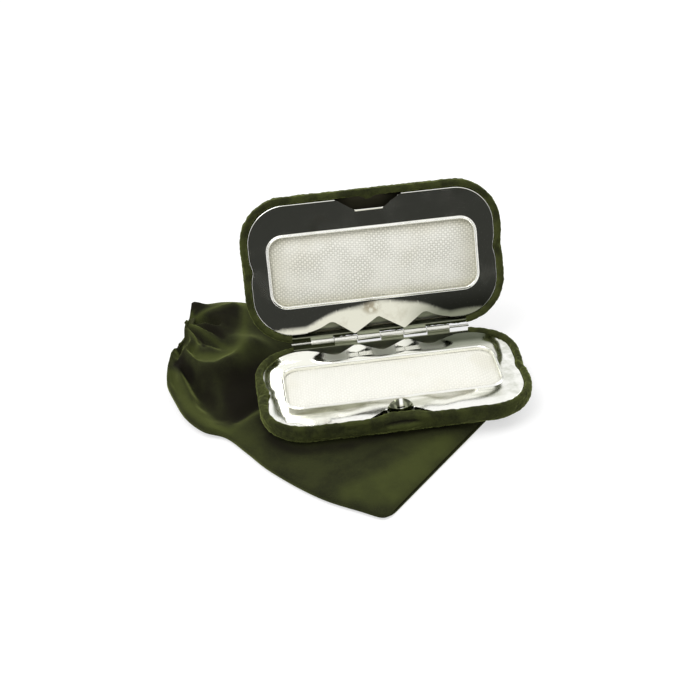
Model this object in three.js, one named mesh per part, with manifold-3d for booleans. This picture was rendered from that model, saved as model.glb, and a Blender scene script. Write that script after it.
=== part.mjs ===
// Charcoal hand warmer: a clamshell case of pressed tinplate covered in velvet,
// standing open on the matching velvet pouch that it is carried in.
// Millimetres, +Z up, X along the hinge, +Y towards the hinge. The origin lies on
// the surface that the pouch rests on, under the middle of the case.
import * as THREE from 'three';
import { mergeVertices } from 'three/addons/utils/BufferGeometryUtils.js';
import Module from 'manifold-3d';

const wasm = await Module();
wasm.setup();

// Case, over the velvet. Both halves are the same pressing, one turned over.
const caseLength = 113;
const caseWidth = 63.5;
const halfDepth = 8.8;
const cornerRadius = 20;
const floorRadius = 4.5;
const openAngle = THREE.MathUtils.degToRad(107.16);

// Sheet, velvet and the clearances between them
const sheet = 0.5;
const velvet = 1;
const glueGap = 0.2;
const partingGap = 0.3;
const seatGap = 0.3;
const turnInLift = 0.05;

// Vent pinched into the middle of each end of each half
const ventDepth = 1.5;
const ventWidth = 3;
const ventFade = 5.5;
const ventOffset = -0.9;

// Hinge along the back: six rolled knuckles in turn on one long wire pin
const hingeSetback = 0.83;
const pinRadius = 0.55;
const pinClearance = 0.3;
const pinLength = 78;
const knucklePitch = 10.2;
const knuckleCount = 6;
const knuckleGap = 0.3;
const strapDrop = 0.6;
const hingeBareWidth = 77;
const hingeTrimDrop = 1.3;

// Retainer frame: plate, beaded window, notch for the catch, toothed rear edge
const plateDrop = 1.2;
const frameLipDepth = 2.9;
const frameEdgeRound = 0.4;
const endBand = 12.1;
const frontBand = 17.35;
const rearBand = 16.35;
const windowRadius = 6;
const windowLipDepth = 1.2;
const beadWidth = 1.2;
const beadHeight = 0.55;
const notchMouth = 27;
const notchFloor = 12;
const notchDepth = 5.2;
const toothPitch = 21.9;
const toothSetback = 1.98;
const toothDepth = 6.6;
const outerValleyPitch = 40.8;
const lobeStart = 57;
const curlWidth = 12.6;
const curlRise = 0.9;

// Pad seen through the window: woven glass cloth drawn over glass wool
const cloth = 0.8;
const clothMargin = 1.8;
const clothCrown = 2.4;
const clothClearance = 0.3;

// Spring catch at the front of the base, with the thumb bulge behind the velvet
const catchWidth = 11;
const catchHeight = 5.8;
const catchDome = 2.4;
const catchStandoff = 1.85;
const leaf = 0.5;
const leafClearance = 0.3;
const footEnd = 12.7;
const thumbLength = 10;
const thumbHeight = 2.4;
const thumbReach = 1.3;
const thumbDrop = 4.4;
const thumbTravel = 0.6;
const stepRise = 2.1;
const velvetBumpLength = 13.4;
const velvetBumpHeight = 5;
const velvetBumpRise = 0.85;

// Two rivets through the foot of the catch, and the velvet pip in the lid
const rivetRadius = 0.8;
const rivetHeadRadius = 1.5;
const rivetHead = 0.6;
const rivetPitch = 6;
const rivetSetback = 10.2;
const pipLength = 5.2;
const pipHeight = 2.5;
const pipReach = 1.55;
const pipDrop = 1.4;

// Pouch: flat velvet bag, sewn along the bottom, its mouth drawn in by elastic
const pouchWidth = 95;
const pouchThickness = 5;
const neckReach = 52.6;
const neckHeight = 20;
const pouchCorner = new THREE.Vector2(-12.3, -78.2);
const pouchTurn = THREE.MathUtils.degToRad(48.9);
const hem = 1.6;
const mouthDepth = 4.2;
const gathers = 8;
const gatherFade = 5;
const gatherDepth = 1.1;
const elastic = 1.1;
const elasticWidth = 3;
const elasticClearance = 0.4;

// One overrun serves every cut
const overrun = 3;

// Values that follow from the sizes above
const metalInset = velvet + glueGap;
const innerInset = metalInset + sheet;
const turnInInset = innerInset + glueGap;
const rimInset = turnInInset + velvet;
const frameInset = rimInset + glueGap;
const velvetRim = -partingGap / 2;
const metalRim = velvetRim - velvet - glueGap;
const metalFloor = -halfDepth + velvet + glueGap;
const turnInEnd = -halfDepth + floorRadius + turnInLift;
const innerFloor = metalFloor + sheet;
const plateTop = -plateDrop;
const rimHeight = pouchThickness + seatGap + halfDepth;
const hingeY = caseWidth / 2 + hingeSetback;
const toothReach = hingeY - toothSetback;
const curlStart = toothReach - curlWidth;
const windowLength = caseLength - 2 * endBand;
const windowWidth = caseWidth - frontBand - rearBand;
const windowOffset = (frontBand - rearBand) / 2;
const boreRadius = pinRadius + pinClearance;
const barrelRadius = boreRadius + sheet;

const ventSideShares = [0.2, 0.33, 0.41, 0.465, 0.52, 0.6, 0.75];
const longSideShares = [0.25, 0.5, 0.75];

const tinplate = new THREE.MeshStandardMaterial({ color: 0xc9cac4, roughness: 0.28, metalness: 1 });
const bright = new THREE.MeshStandardMaterial({ color: 0xdadbd6, roughness: 0.16, metalness: 1 });
const steel = new THREE.MeshStandardMaterial({ color: 0xb4b5ae, roughness: 0.3, metalness: 1 });
const green = new THREE.MeshStandardMaterial({ color: 0x3c4123, roughness: 0.95, metalness: 0 });
const glassCloth = new THREE.MeshStandardMaterial({ color: 0xdcd9cc, roughness: 0.85, metalness: 0 });
const wadding = new THREE.MeshStandardMaterial({ color: 0xe6e0cf, roughness: 1, metalness: 0 });
const elasticBand = new THREE.MeshStandardMaterial({ color: 0x34381f, roughness: 0.9, metalness: 0 });

// A rectangle with round corners as a loop of points, anticlockwise from above
function roundedLoop(halfX, back, front, radius, steps, endShares, sideShares) {
  const right = halfX - radius;
  const top = back - radius;
  const bottom = front + radius;
  const corners = [[right, bottom, -0.5], [right, top, 0], [-right, top, 0.5], [-right, bottom, 1]];
  const points = [];
  corners.forEach(([x, y, start], index) => {
    for (let step = 0; step <= steps; step += 1) {
      const angle = Math.PI * (start + step / steps / 2);
      points.push(new THREE.Vector2(x + radius * Math.cos(angle), y + radius * Math.sin(angle)));
    }
    const from = points[points.length - 1];
    const next = corners[(index + 1) % corners.length];
    const angle = Math.PI * next[2];
    const to = new THREE.Vector2(next[0] + radius * Math.cos(angle), next[1] + radius * Math.sin(angle));
    const upright = index === 0 || index === 2;
    const shares = upright ? endShares : sideShares;
    const ordered = index === 2 ? shares.map((share) => 1 - share).reverse() : shares;
    ordered.forEach((share) => points.push(from.clone().lerp(to, share)));
  });
  return points;
}

// The plan of the case, drawn in from the outside of the velvet by an inset
function caseLoop(inset) {
  const halfWidth = caseWidth / 2 - inset;
  return roundedLoop(
    caseLength / 2 - inset, halfWidth, -halfWidth, cornerRadius - inset, 6, ventSideShares, longSideShares,
  );
}

// The vent presses every layer of the end wall inwards by the same amount
function pinchVent(point) {
  const across = (point.y - ventOffset) / ventWidth;
  const down = THREE.MathUtils.clamp(1 + (point.z - velvetRim) / ventFade, 0, 1);
  const beyond = THREE.MathUtils.smoothstep(Math.abs(point.x), windowLength / 2, caseLength / 2 - rimInset);
  point.x -= Math.sign(point.x) * ventDepth * Math.exp(-across * across) * down * down * beyond;
  return point;
}

// A closed body from loops of points: joined on themselves, or capped at both ends.
// Every quad is creased the way that climbs with its loop, so nested skins match.
function skin(loops, joined, capDish = 0) {
  const count = loops[0].length;
  const positions = loops.flat().flatMap((point) => [point.x, point.y, point.z]);
  const faces = [];
  const bands = joined ? loops.length : loops.length - 1;
  for (let band = 0; band < bands; band += 1) {
    const below = band * count;
    const above = ((band + 1) % loops.length) * count;
    for (let index = 0; index < count; index += 1) {
      const next = (index + 1) % count;
      const [a, b, c, d] = [below + index, below + next, above + next, above + index];
      const climbs = positions[d * 3 + 2] >= positions[a * 3 + 2];
      faces.push(...(climbs ? [a, b, c, a, c, d] : [a, b, d, b, c, d]));
    }
  }
  if (!joined) {
    [0, loops.length - 1].forEach((end) => {
      const middle = new THREE.Vector3();
      loops[end].forEach((point) => middle.addScaledVector(point, 1 / count));
      if (end > 0) middle.y -= capDish;
      const hub = positions.length / 3;
      positions.push(middle.x, middle.y, middle.z);
      for (let index = 0; index < count; index += 1) {
        const a = end * count + index;
        const b = end * count + ((index + 1) % count);
        faces.push(hub, end > 0 ? a : b, end > 0 ? b : a);
      }
    });
  }
  const geometry = new THREE.BufferGeometry();
  geometry.setAttribute('position', new THREE.Float32BufferAttribute(positions, 3));
  geometry.setIndex(faces);
  return solid(geometry);
}

function facingOut(geometry) {
  const place = geometry.attributes.position;
  const order = geometry.index.array;
  const [a, b, c] = [new THREE.Vector3(), new THREE.Vector3(), new THREE.Vector3()];
  let volume = 0;
  for (let face = 0; face < order.length; face += 3) {
    a.fromBufferAttribute(place, order[face]);
    b.fromBufferAttribute(place, order[face + 1]);
    c.fromBufferAttribute(place, order[face + 2]);
    volume += a.dot(b.cross(c));
  }
  if (volume < 0) geometry.setIndex(Array.from(order).reverse());
  return geometry;
}

function solid(geometry) {
  const bare = geometry.clone();
  bare.deleteAttribute('normal');
  bare.deleteAttribute('uv');
  const merged = facingOut(mergeVertices(bare));
  return new wasm.Manifold(new wasm.Mesh({
    numProp: 3,
    vertProperties: new Float32Array(merged.attributes.position.array),
    triVerts: new Uint32Array(merged.index.array),
  }));
}

function surface(manifold) {
  const { vertProperties, triVerts, numProp } = manifold.getMesh();
  const positions = [];
  for (let index = 0; index < vertProperties.length; index += numProp) {
    positions.push(vertProperties[index], vertProperties[index + 1], vertProperties[index + 2]);
  }
  const geometry = new THREE.BufferGeometry();
  geometry.setAttribute('position', new THREE.Float32BufferAttribute(positions, 3));
  geometry.setIndex(Array.from(triVerts));
  return geometry;
}

function box(fromX, toX, fromY, toY, fromZ, toZ) {
  const geometry = new THREE.BoxGeometry(toX - fromX, toY - fromY, toZ - fromZ);
  geometry.translate((fromX + toX) / 2, (fromY + toY) / 2, (fromZ + toZ) / 2);
  return solid(geometry);
}

function ellipsoid(radiusX, radiusY, radiusZ, x, y, z) {
  const geometry = new THREE.SphereGeometry(1, 20, 10);
  geometry.rotateX(Math.PI / 2);
  geometry.scale(radiusX, radiusY, radiusZ);
  geometry.translate(x, y, z);
  return solid(geometry);
}

// A side profile drawn in Y and Z, extruded along X
function alongX(shape, fromX, toX) {
  const geometry = new THREE.ExtrudeGeometry(shape, {
    depth: toX - fromX, bevelEnabled: false, curveSegments: 8,
  });
  geometry.rotateY(Math.PI / 2);
  geometry.rotateX(Math.PI / 2);
  geometry.translate(fromX, 0, 0);
  return solid(geometry);
}

// A tray profile: pairs of inset and height, round in plan like the case
function trayLoops(profile) {
  return profile.map(([inset, z]) => (
    caseLoop(inset).map((point) => pinchVent(new THREE.Vector3(point.x, point.y, z)))
  ));
}

function floorArc(inset, floor, radius, steps, outwards) {
  const arc = [];
  for (let step = 0; step <= steps; step += 1) {
    const turn = (Math.PI / 2) * ((outwards ? step : steps - step) / steps);
    arc.push([inset + radius * (1 - Math.sin(turn)), floor + radius * (1 - Math.cos(turn))]);
  }
  return arc;
}

// Pressed tinplate half. Its rear wall ends in straps rolled round the pin, and
// the knuckles of one half fall between those of the other when it is turned over.
function shell() {
  const profile = [
    ...floorArc(metalInset, metalFloor, floorRadius - metalInset, 3, true),
    [metalInset, metalRim],
    [innerInset, metalRim],
    ...floorArc(innerInset, innerFloor, floorRadius - innerInset, 3, false),
  ];
  let body = skin(trayLoops(profile), false);
  const middle = barrelRadius - sheet / 2;
  const foot = new THREE.Vector2(caseWidth / 2 - metalInset - sheet / 2, metalRim - strapDrop);
  const reach = new THREE.Vector2(hingeY, 0).sub(foot);
  const tangent = Math.sqrt(reach.lengthSq() - middle * middle);
  const angle = reach.angle() - Math.asin(middle / reach.length());
  const along = new THREE.Vector2(Math.cos(angle), Math.sin(angle));
  const across = new THREE.Vector2(-along.y, along.x).multiplyScalar(sheet / 2);
  const tip = foot.clone().addScaledVector(along, tangent);
  const strap = new THREE.Shape([
    foot.clone().add(across), foot.clone().sub(across), tip.clone().sub(across), tip.clone().add(across),
  ]);
  const barrel = new THREE.Shape().absarc(hingeY, 0, barrelRadius, 0, 2 * Math.PI);
  barrel.holes.push(new THREE.Path().absarc(hingeY, 0, boreRadius, 0, 2 * Math.PI, true));
  for (let index = 1; index < knuckleCount; index += 2) {
    const from = (index - knuckleCount / 2) * knucklePitch + knuckleGap / 2;
    const to = from + knucklePitch - knuckleGap;
    body = body.add(alongX(strap, from, to)).add(alongX(barrel, from, to));
  }
  return body;
}

// Velvet over one half: across the floor, up the wall, over the rim and turned in.
// It is cut away along the hinge, where the rear wall stands bare.
function velvetCover() {
  const roll = rimInset / 2;
  const profile = floorArc(0, -halfDepth, floorRadius, 3, true);
  for (let step = 0; step <= 4; step += 1) {
    const turn = Math.PI * (step / 4);
    profile.push([roll * (1 - Math.cos(turn)), velvetRim - roll * (1 - Math.sin(turn))]);
  }
  profile.push(
    [rimInset, turnInEnd],
    [turnInInset, turnInEnd],
    [turnInInset, metalRim + glueGap],
    [velvet, metalRim + glueGap],
    ...floorArc(velvet, -halfDepth + velvet, floorRadius - velvet, 3, false),
  );
  const back = caseWidth / 2;
  const turnedIn = back - metalInset - sheet / 2;
  const turnInLow = turnInEnd - glueGap;
  return skin(trayLoops(profile), false)
    .subtract(box(
      -hingeBareWidth / 2, hingeBareWidth / 2, turnedIn, back + overrun, metalRim - hingeTrimDrop, overrun,
    ))
    .subtract(box(
      -hingeBareWidth / 2, hingeBareWidth / 2, back - rimInset - overrun, turnedIn, turnInLow, overrun,
    ));
}

// Retainer frame: a dished plate with a turned-down rim, a bead round the window,
// a notch for the catch, and a toothed rear edge that curls up to the hinge.
function retainerFrame() {
  const front = -caseWidth / 2 + frameInset;
  const halfX = caseLength / 2 - frameInset;
  const outerRadius = cornerRadius - frameInset;
  const rear = toothReach + frameEdgeRound + sheet;
  const outer = (inset) => roundedLoop(
    halfX - inset, rear - inset, front + inset, outerRadius - inset, 6, ventSideShares, longSideShares,
  );
  const back = windowOffset + windowWidth / 2;
  const opening = (outset) => roundedLoop(
    windowLength / 2 + outset, back + outset, back - windowWidth - outset, windowRadius + outset, 6,
    ventSideShares, longSideShares,
  );
  const between = (share) => {
    const inner = opening(beadWidth);
    return outer(frameEdgeRound).map((point, index) => point.clone().lerp(inner[index], share));
  };
  const curled = (point, z) => {
    const share = Math.max(0, point.y - curlStart) / (toothReach - curlStart);
    return pinchVent(new THREE.Vector3(point.x, point.y, z + curlRise * share * share));
  };
  const under = plateTop - sheet;
  const lipEnd = plateTop - frameLipDepth;
  const crown = plateTop + beadHeight;
  const rings = [
    [outer(0), lipEnd],
    [outer(0), plateTop - frameEdgeRound],
    [outer(frameEdgeRound), plateTop],
    [between(0.35), plateTop],
    [between(0.7), plateTop],
    [opening(beadWidth), plateTop],
    [opening(beadWidth * 0.7), crown],
    [opening(beadWidth * 0.3), crown],
    [opening(0), plateTop],
    [opening(0), plateTop - windowLipDepth],
    [opening(sheet), plateTop - windowLipDepth],
    [opening(sheet), under],
    [opening(beadWidth), under],
    [between(0.7), under],
    [between(0.35), under],
    [outer(sheet), under],
    [outer(sheet), lipEnd],
  ];
  const plate = skin(rings.map(([loop, z]) => loop.map((point) => curled(point, z))), true);

  const notch = new THREE.Shape([
    new THREE.Vector2(-notchFloor / 2, front + notchDepth),
    new THREE.Vector2(notchFloor / 2, front + notchDepth),
    new THREE.Vector2(notchMouth / 2, front),
    new THREE.Vector2(notchMouth / 2, front - overrun),
    new THREE.Vector2(-notchMouth / 2, front - overrun),
    new THREE.Vector2(-notchMouth / 2, front),
  ]);
  const cornerX = halfX - outerRadius;
  const lobeY = caseWidth / 2 - frameInset;
  const cornerY = lobeY - outerRadius;
  const valley = toothReach - toothDepth;
  const behind = toothReach + overrun;
  const teeth = new THREE.Shape();
  teeth.moveTo(-halfX - overrun, cornerY);
  teeth.lineTo(-halfX, cornerY);
  teeth.absarc(-cornerX, cornerY, outerRadius, Math.PI, Math.PI / 2, true);
  teeth.lineTo(-lobeStart / 2, lobeY);
  teeth.lineTo(-outerValleyPitch / 2, valley);
  teeth.lineTo(-toothPitch / 2, toothReach);
  teeth.lineTo(0, valley);
  teeth.lineTo(toothPitch / 2, toothReach);
  teeth.lineTo(outerValleyPitch / 2, valley);
  teeth.lineTo(lobeStart / 2, lobeY);
  teeth.lineTo(cornerX, lobeY);
  teeth.absarc(cornerX, cornerY, outerRadius, Math.PI / 2, 0, true);
  teeth.lineTo(halfX + overrun, cornerY);
  teeth.lineTo(halfX + overrun, behind);
  teeth.lineTo(-halfX - overrun, behind);
  const through = (shape) => {
    const geometry = new THREE.ExtrudeGeometry(shape, {
      depth: halfDepth + overrun, bevelEnabled: false, curveSegments: 6,
    });
    geometry.translate(0, 0, -halfDepth);
    return solid(geometry);
  };
  return plate.subtract(through(notch)).subtract(through(teeth));
}

// Height of the pad inside the window, from its held edge to its crown
const padEdge = plateTop - windowLipDepth - clothClearance;
const padShares = [[1, 0], [0.96, 0.06], [0.84, 0.5], [0.6, 0.86], [0.28, 1]];

function padLoop(share, z, margin, steps) {
  const halfX = windowLength / 2 + margin;
  const halfY = windowWidth / 2 + margin;
  const shrink = halfY * (1 - share);
  const radius = Math.max(windowRadius + margin - shrink, windowRadius * share / 2);
  const loop = roundedLoop(
    halfX - shrink, windowOffset + halfY - shrink, windowOffset - halfY + shrink, radius, steps, [0.5], [0.5],
  );
  return loop.map((point) => new THREE.Vector3(point.x, point.y, z));
}

function glassClothPad() {
  const upper = padShares.map(([share, rise]) => padLoop(share, padEdge + clothCrown * rise, 0, 5));
  const lower = padShares.map(([share, rise]) => padLoop(share, padEdge - cloth + clothCrown * rise, 0, 5));
  const edge = [
    padLoop(1, padEdge - cloth, clothMargin, 5),
    padLoop(1, padEdge, clothMargin, 5),
  ];
  upper[0].forEach((point) => { point.z = padEdge; });
  return skin([...lower.reverse(), ...edge, ...upper], false);
}

function glassWool() {
  const floor = innerFloor + clothClearance;
  const under = padEdge - cloth - clothClearance;
  const upper = padShares.map(([share, rise]) => padLoop(share, under + clothCrown * rise, 0, 4));
  const sides = [padLoop(1, floor, 0, 4), padLoop(1, under, 0, 4)];
  return skin([...sides, ...upper.slice(1)], false);
}

// Spring catch: one leaf of steel. Its foot lies on the floor of the base, it runs
// up inside the front wall with the thumb bulge standing through it, steps back
// under the frame and rises through the notch to a domed tongue.
const bendRadius = floorRadius - innerInset - leafClearance - leaf / 2;
const bendY = -caseWidth / 2 + floorRadius;
const bendZ = -halfDepth + floorRadius;
const leafY = bendY - bendRadius;
const footZ = bendZ - bendRadius;
const domeFront = -caseWidth / 2 + rimInset + catchStandoff;
const tongueY = domeFront + catchDome;
const stepLow = metalRim - leafClearance - leaf * 2;
const stepHigh = stepLow + stepRise;
const domeZ = catchHeight - catchWidth / 2;

function catchSpring() {
  const half = leaf / 2;
  const profile = new THREE.Shape();
  profile.moveTo(bendY + footEnd - floorRadius, footZ - half);
  profile.lineTo(bendY + footEnd - floorRadius, footZ + half);
  profile.lineTo(bendY, footZ + half);
  profile.absarc(bendY, bendZ, bendRadius - half, -Math.PI / 2, -Math.PI, true);
  profile.lineTo(leafY + half, stepLow - half);
  profile.lineTo(tongueY + leaf, stepHigh - half);
  profile.lineTo(tongueY + leaf, domeZ + leaf);
  profile.lineTo(tongueY, domeZ + leaf);
  profile.lineTo(tongueY, stepHigh);
  profile.lineTo(leafY - half, stepLow);
  profile.lineTo(leafY - half, bendZ);
  profile.absarc(bendY, bendZ, bendRadius + half, Math.PI, 1.5 * Math.PI, false);
  const strip = alongX(profile, -catchWidth / 2, catchWidth / 2);

  const pressed = domeCap(catchWidth / 2, catchDome, leaf);
  const hollow = domeCap(catchWidth / 2 - leaf, catchDome - leaf, leaf + overrun);
  const below = box(-catchWidth, catchWidth, domeFront - overrun, tongueY + overrun, -halfDepth, stepHigh);
  const sill = box(-catchWidth, catchWidth, domeFront - overrun, tongueY + leaf, stepHigh, stepHigh + leaf);
  const domed = pressed.subtract(hollow).subtract(below).add(pressed.intersect(sill));

  const thumb = ellipsoid(
    thumbLength / 2, thumbReach + half, thumbHeight / 2, 0, leafY, -thumbDrop,
  ).subtract(box(-thumbLength, thumbLength, leafY, leafY + overrun, -halfDepth, 0));
  let spring = strip.add(domed).add(thumb);
  rivetPlaces().forEach(([x, y]) => {
    spring = spring.subtract(upright(rivetRadius + leafClearance, footZ - overrun, footZ + leaf, x, y));
  });
  return spring;
}

// A shallow ball cap facing the front, on a disc of its own width
function domeCap(radius, depth, behind) {
  const ball = (radius * radius + depth * depth) / (2 * depth);
  const outline = [];
  for (let step = 0; step <= 5; step += 1) {
    const reach = radius * (step / 5);
    outline.push(new THREE.Vector2(reach, Math.sqrt(ball * ball - reach * reach) - ball + depth));
  }
  outline.push(new THREE.Vector2(radius, -behind), new THREE.Vector2(0, -behind));
  const cap = new THREE.LatheGeometry(outline, 20);
  cap.rotateX(Math.PI);
  cap.translate(0, tongueY, domeZ);
  return solid(cap);
}

function upright(radius, from, to, x, y) {
  const geometry = new THREE.CylinderGeometry(radius, radius, to - from, 16);
  geometry.rotateX(Math.PI / 2);
  geometry.translate(x, y, (from + to) / 2);
  return solid(geometry);
}

function rivetPlaces() {
  const y = -caseWidth / 2 + rivetSetback;
  return [[-rivetPitch / 2, y], [rivetPitch / 2, y]];
}

function catchRivet([x, y]) {
  const seat = footZ + leaf / 2 + leafClearance;
  return upright(rivetRadius, metalFloor, seat + rivetHead / 2, x, y)
    .add(upright(rivetHeadRadius, seat, seat + rivetHead, x, y));
}

// The base shell is the plain pressing with an oval hole for the thumb bulge and
// two holes for the rivets.
function baseShell() {
  const oval = new THREE.CylinderGeometry(1, 1, overrun, 20);
  oval.scale(thumbLength / 2 + leafClearance, 1, thumbHeight / 2 + leafClearance + thumbTravel / 2);
  oval.translate(0, leafY - overrun / 2 + leaf, -thumbDrop + thumbTravel / 2);
  let body = shell().subtract(solid(oval));
  rivetPlaces().forEach(([x, y]) => {
    const hole = upright(rivetRadius + leafClearance, metalFloor - overrun, innerFloor + overrun, x, y);
    body = body.subtract(hole);
  });
  return body;
}

// The base velvet swells over the thumb bulge, and its turned-in edge is cut
// back where the catch passes.
function baseVelvet() {
  const face = -caseWidth / 2;
  const mid = -thumbDrop + thumbTravel / 2;
  const swell = ellipsoid(
    velvetBumpLength / 2, velvetBumpRise + velvet, velvetBumpHeight / 2, 0, face + velvet, mid,
  ).subtract(box(-velvetBumpLength, velvetBumpLength, face + velvet, face + overrun * 2, -halfDepth, 0));
  const hollow = ellipsoid(
    thumbLength / 2 + leafClearance * 2, thumbReach + leaf / 2 + leafClearance,
    thumbHeight / 2 + thumbTravel, 0, leafY, mid,
  );
  const passage = box(
    -catchWidth / 2 - leafClearance * 2, catchWidth / 2 + leafClearance * 2,
    face + metalInset + sheet / 2, face + rimInset + overrun,
    turnInEnd - glueGap, metalRim - leafClearance,
  );
  return velvetCover().add(swell).subtract(hollow).subtract(passage);
}

// The lid velvet has a pip pressed in at the front, which snaps over the tongue
function lidVelvet() {
  const face = -caseWidth / 2 + rimInset;
  const pip = ellipsoid(pipLength / 2, pipReach, pipHeight / 2, 0, face, -pipDrop)
    .subtract(box(-pipLength, pipLength, face - overrun, face - velvet / 2, -halfDepth, overrun));
  return velvetCover().add(pip);
}

function hingePin() {
  const pin = new THREE.CylinderGeometry(pinRadius, pinRadius, pinLength, 16);
  pin.rotateZ(Math.PI / 2);
  pin.translate(0, hingeY, 0);
  return solid(pin);
}

// One section across the pouch: flat beneath, rounded at its edges, crowned above.
// It may run askew, so its two edges have their own distances along the pouch,
// and it may lean back.
function bagSection([alongLeft, alongRight, left, right, low, high, lift, flat, square, lean]) {
  const points = [];
  const count = 32;
  for (let index = 0; index < count; index += 1) {
    const angle = 2 * Math.PI * (index / count);
    const side = Math.sign(Math.cos(angle)) * Math.abs(Math.cos(angle)) ** (2 / square);
    const bulge = Math.abs(Math.sin(angle)) ** (2 / square);
    const under = Math.max(0, (Math.abs(side) - flat) / (1 - flat)) ** 2;
    const share = (1 + side) / 2;
    const z = index > 0 && index < count / 2 ? low + lift + (high - low - lift) * bulge : low + lift * under;
    const along = THREE.MathUtils.lerp(alongLeft, alongRight, share) - lean * (z - (low + high) / 2);
    points.push(new THREE.Vector3(THREE.MathUtils.lerp(left, right, share), along, z));
  }
  return points;
}

// The flat part reaches past the rear left corner of the case; the neck is the rest.
// Its rows hold: distance as a share of that reach, left and right edge as shares of
// the width, top and edge height as shares of the thickness, the share of the width
// that lies flat, and the squareness
const flatShares = [
  [0.013, 0.012, 0.979, 0.40, 0.18, 0.90, 4.0],
  [0.037, -0.015, 1.004, 0.68, 0.22, 0.90, 4.0],
  [0.123, -0.022, 1.011, 0.96, 0.24, 0.90, 4.0],
  [0.277, -0.034, 1.011, 1.00, 0.24, 0.90, 4.0],
  [0.431, -0.020, 1.011, 1.00, 0.24, 0.90, 4.0],
  [0.611, 0.018, 1.011, 1.00, 0.24, 0.90, 4.0],
  [0.750, 0.067, 1.005, 1.00, 0.24, 0.90, 4.0],
  [0.893, 0.115, 1.000, 1.00, 0.28, 0.90, 4.0],
  [1.000, 0.100, 0.995, 1.00, 0.44, 0.88, 3.6],
];

// Rows of the neck: the left and the right edge along it as shares of its reach, then
// across it as shares of the width; underside, top and edge height as shares of its
// height; the share that lies flat, the squareness, and the lean
const neckShares = [
  [0.221, 0.221, 0.132, 0.995, 0.00, 0.41, 0.17, 0.86, 3.0, 0.00],
  [0.430, 0.449, 0.200, 0.989, 0.00, 0.67, 0.24, 0.82, 2.6, 0.00],
  [0.601, 0.658, 0.279, 0.968, 0.00, 0.89, 0.30, 0.76, 2.4, 0.00],
  [0.734, 0.829, 0.358, 0.911, 0.00, 0.98, 0.24, 0.66, 2.3, 0.00],
  [0.818, 0.925, 0.425, 0.821, 0.02, 1.02, 0.22, 0.40, 2.1, 0.08],
  [0.848, 0.982, 0.478, 0.747, 0.08, 1.04, 0.30, 0.30, 2.0, 0.22],
  [0.860, 1.001, 0.512, 0.711, 0.14, 1.02, 0.39, 0.20, 2.1, 0.30],
];

const caseCorner = new THREE.Vector2(cornerRadius - caseLength / 2, caseWidth / 2 - cornerRadius);
const flatReach = caseCorner.sub(pouchCorner).rotateAround(new THREE.Vector2(), -pouchTurn).y + cornerRadius;

function flatRow([along, left, right, high, lift, flat, square]) {
  return bagSection([
    along * flatReach, along * flatReach, left * pouchWidth, right * pouchWidth,
    0, high * pouchThickness, lift * pouchThickness, flat, square, 0,
  ]);
}

function neckRow([alongLeft, alongRight, left, right, low, high, lift, ...rest], grow = 0, slide = 0) {
  return bagSection([
    flatReach + alongLeft * neckReach + slide, flatReach + alongRight * neckReach + slide,
    left * pouchWidth - grow, right * pouchWidth + grow,
    low * neckHeight - grow, high * neckHeight + grow, lift * neckHeight + grow, ...rest,
  ]);
}

// The whole bag, gathered towards its mouth, with the mouth drawn in as a recess
function pouchBag() {
  const rows = neckShares.map((row, index) => gathered(neckRow(row), index + gatherFade - neckShares.length));
  const mouth = neckShares.at(-1);
  const recess = [neckRow(mouth, -hem), neckRow(mouth, -hem, -mouthDepth)];
  return skin([...flatShares.map(flatRow), ...rows, ...recess], false, mouthDepth / 2);
}

// Gathers deepen over the last rows: every other stretch of the outline is drawn in
function gathered(points, step) {
  if (step <= 0) return points;
  const middle = new THREE.Vector3();
  points.forEach((point) => middle.addScaledVector(point, 1 / points.length));
  const draw = gatherDepth * (step / gatherFade);
  return points.map((point, place) => {
    const inwards = draw * (1 - Math.cos(2 * Math.PI * gathers * (place / points.length))) / 2;
    return point.addScaledVector(middle.clone().sub(point).normalize(), inwards);
  });
}

function pouchElastic() {
  const mouth = neckShares.at(-1);
  const outer = -hem - elasticClearance;
  const near = -mouthDepth + elasticClearance;
  const far = near + elasticWidth;
  return skin([
    neckRow(mouth, outer, near), neckRow(mouth, outer, far),
    neckRow(mouth, outer - elastic, far), neckRow(mouth, outer - elastic, near),
  ], true);
}

function piece(name, manifold, material) {
  const mesh = new THREE.Mesh(surface(manifold), material.clone());
  mesh.name = name;
  return mesh;
}

// The pouch lies askew under the case, its neck away to the left and behind
const pouch = new THREE.Group();
pouch.position.set(pouchCorner.x, pouchCorner.y, 0);
pouch.rotation.z = pouchTurn;
pouch.add(piece('pouch_bag', pouchBag(), green));
pouch.add(piece('pouch_elastic', pouchElastic(), elasticBand));

const base = new THREE.Group();
base.position.z = rimHeight;
base.add(piece('base_shell', baseShell(), tinplate));
base.add(piece('base_velvet', baseVelvet(), green));
base.add(piece('base_frame', retainerFrame(), bright));
base.add(piece('base_glass_cloth', glassClothPad(), glassCloth));
base.add(piece('base_glass_wool', glassWool(), wadding));
base.add(piece('hinge_pin', hingePin(), steel));
base.add(piece('catch_spring', catchSpring(), bright));
rivetPlaces().forEach((place, index) => {
  base.add(piece(`catch_rivet_${['left', 'right'][index]}`, catchRivet(place), steel));
});

// The lid is the same half turned over about Y, then laid back about the pin
const turnedOver = new THREE.Group();
turnedOver.position.y = -hingeY;
turnedOver.rotation.y = Math.PI;
turnedOver.add(piece('lid_shell', shell(), tinplate));
turnedOver.add(piece('lid_velvet', lidVelvet(), green));
turnedOver.add(piece('lid_frame', retainerFrame(), bright));
turnedOver.add(piece('lid_glass_cloth', glassClothPad(), glassCloth));
turnedOver.add(piece('lid_glass_wool', glassWool(), wadding));

const lid = new THREE.Group();
lid.position.set(0, hingeY, rimHeight);
lid.rotation.x = -openAngle;
lid.add(turnedOver);

const handWarmer = new THREE.Group();
handWarmer.add(pouch, base, lid);

export default handWarmer;
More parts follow.
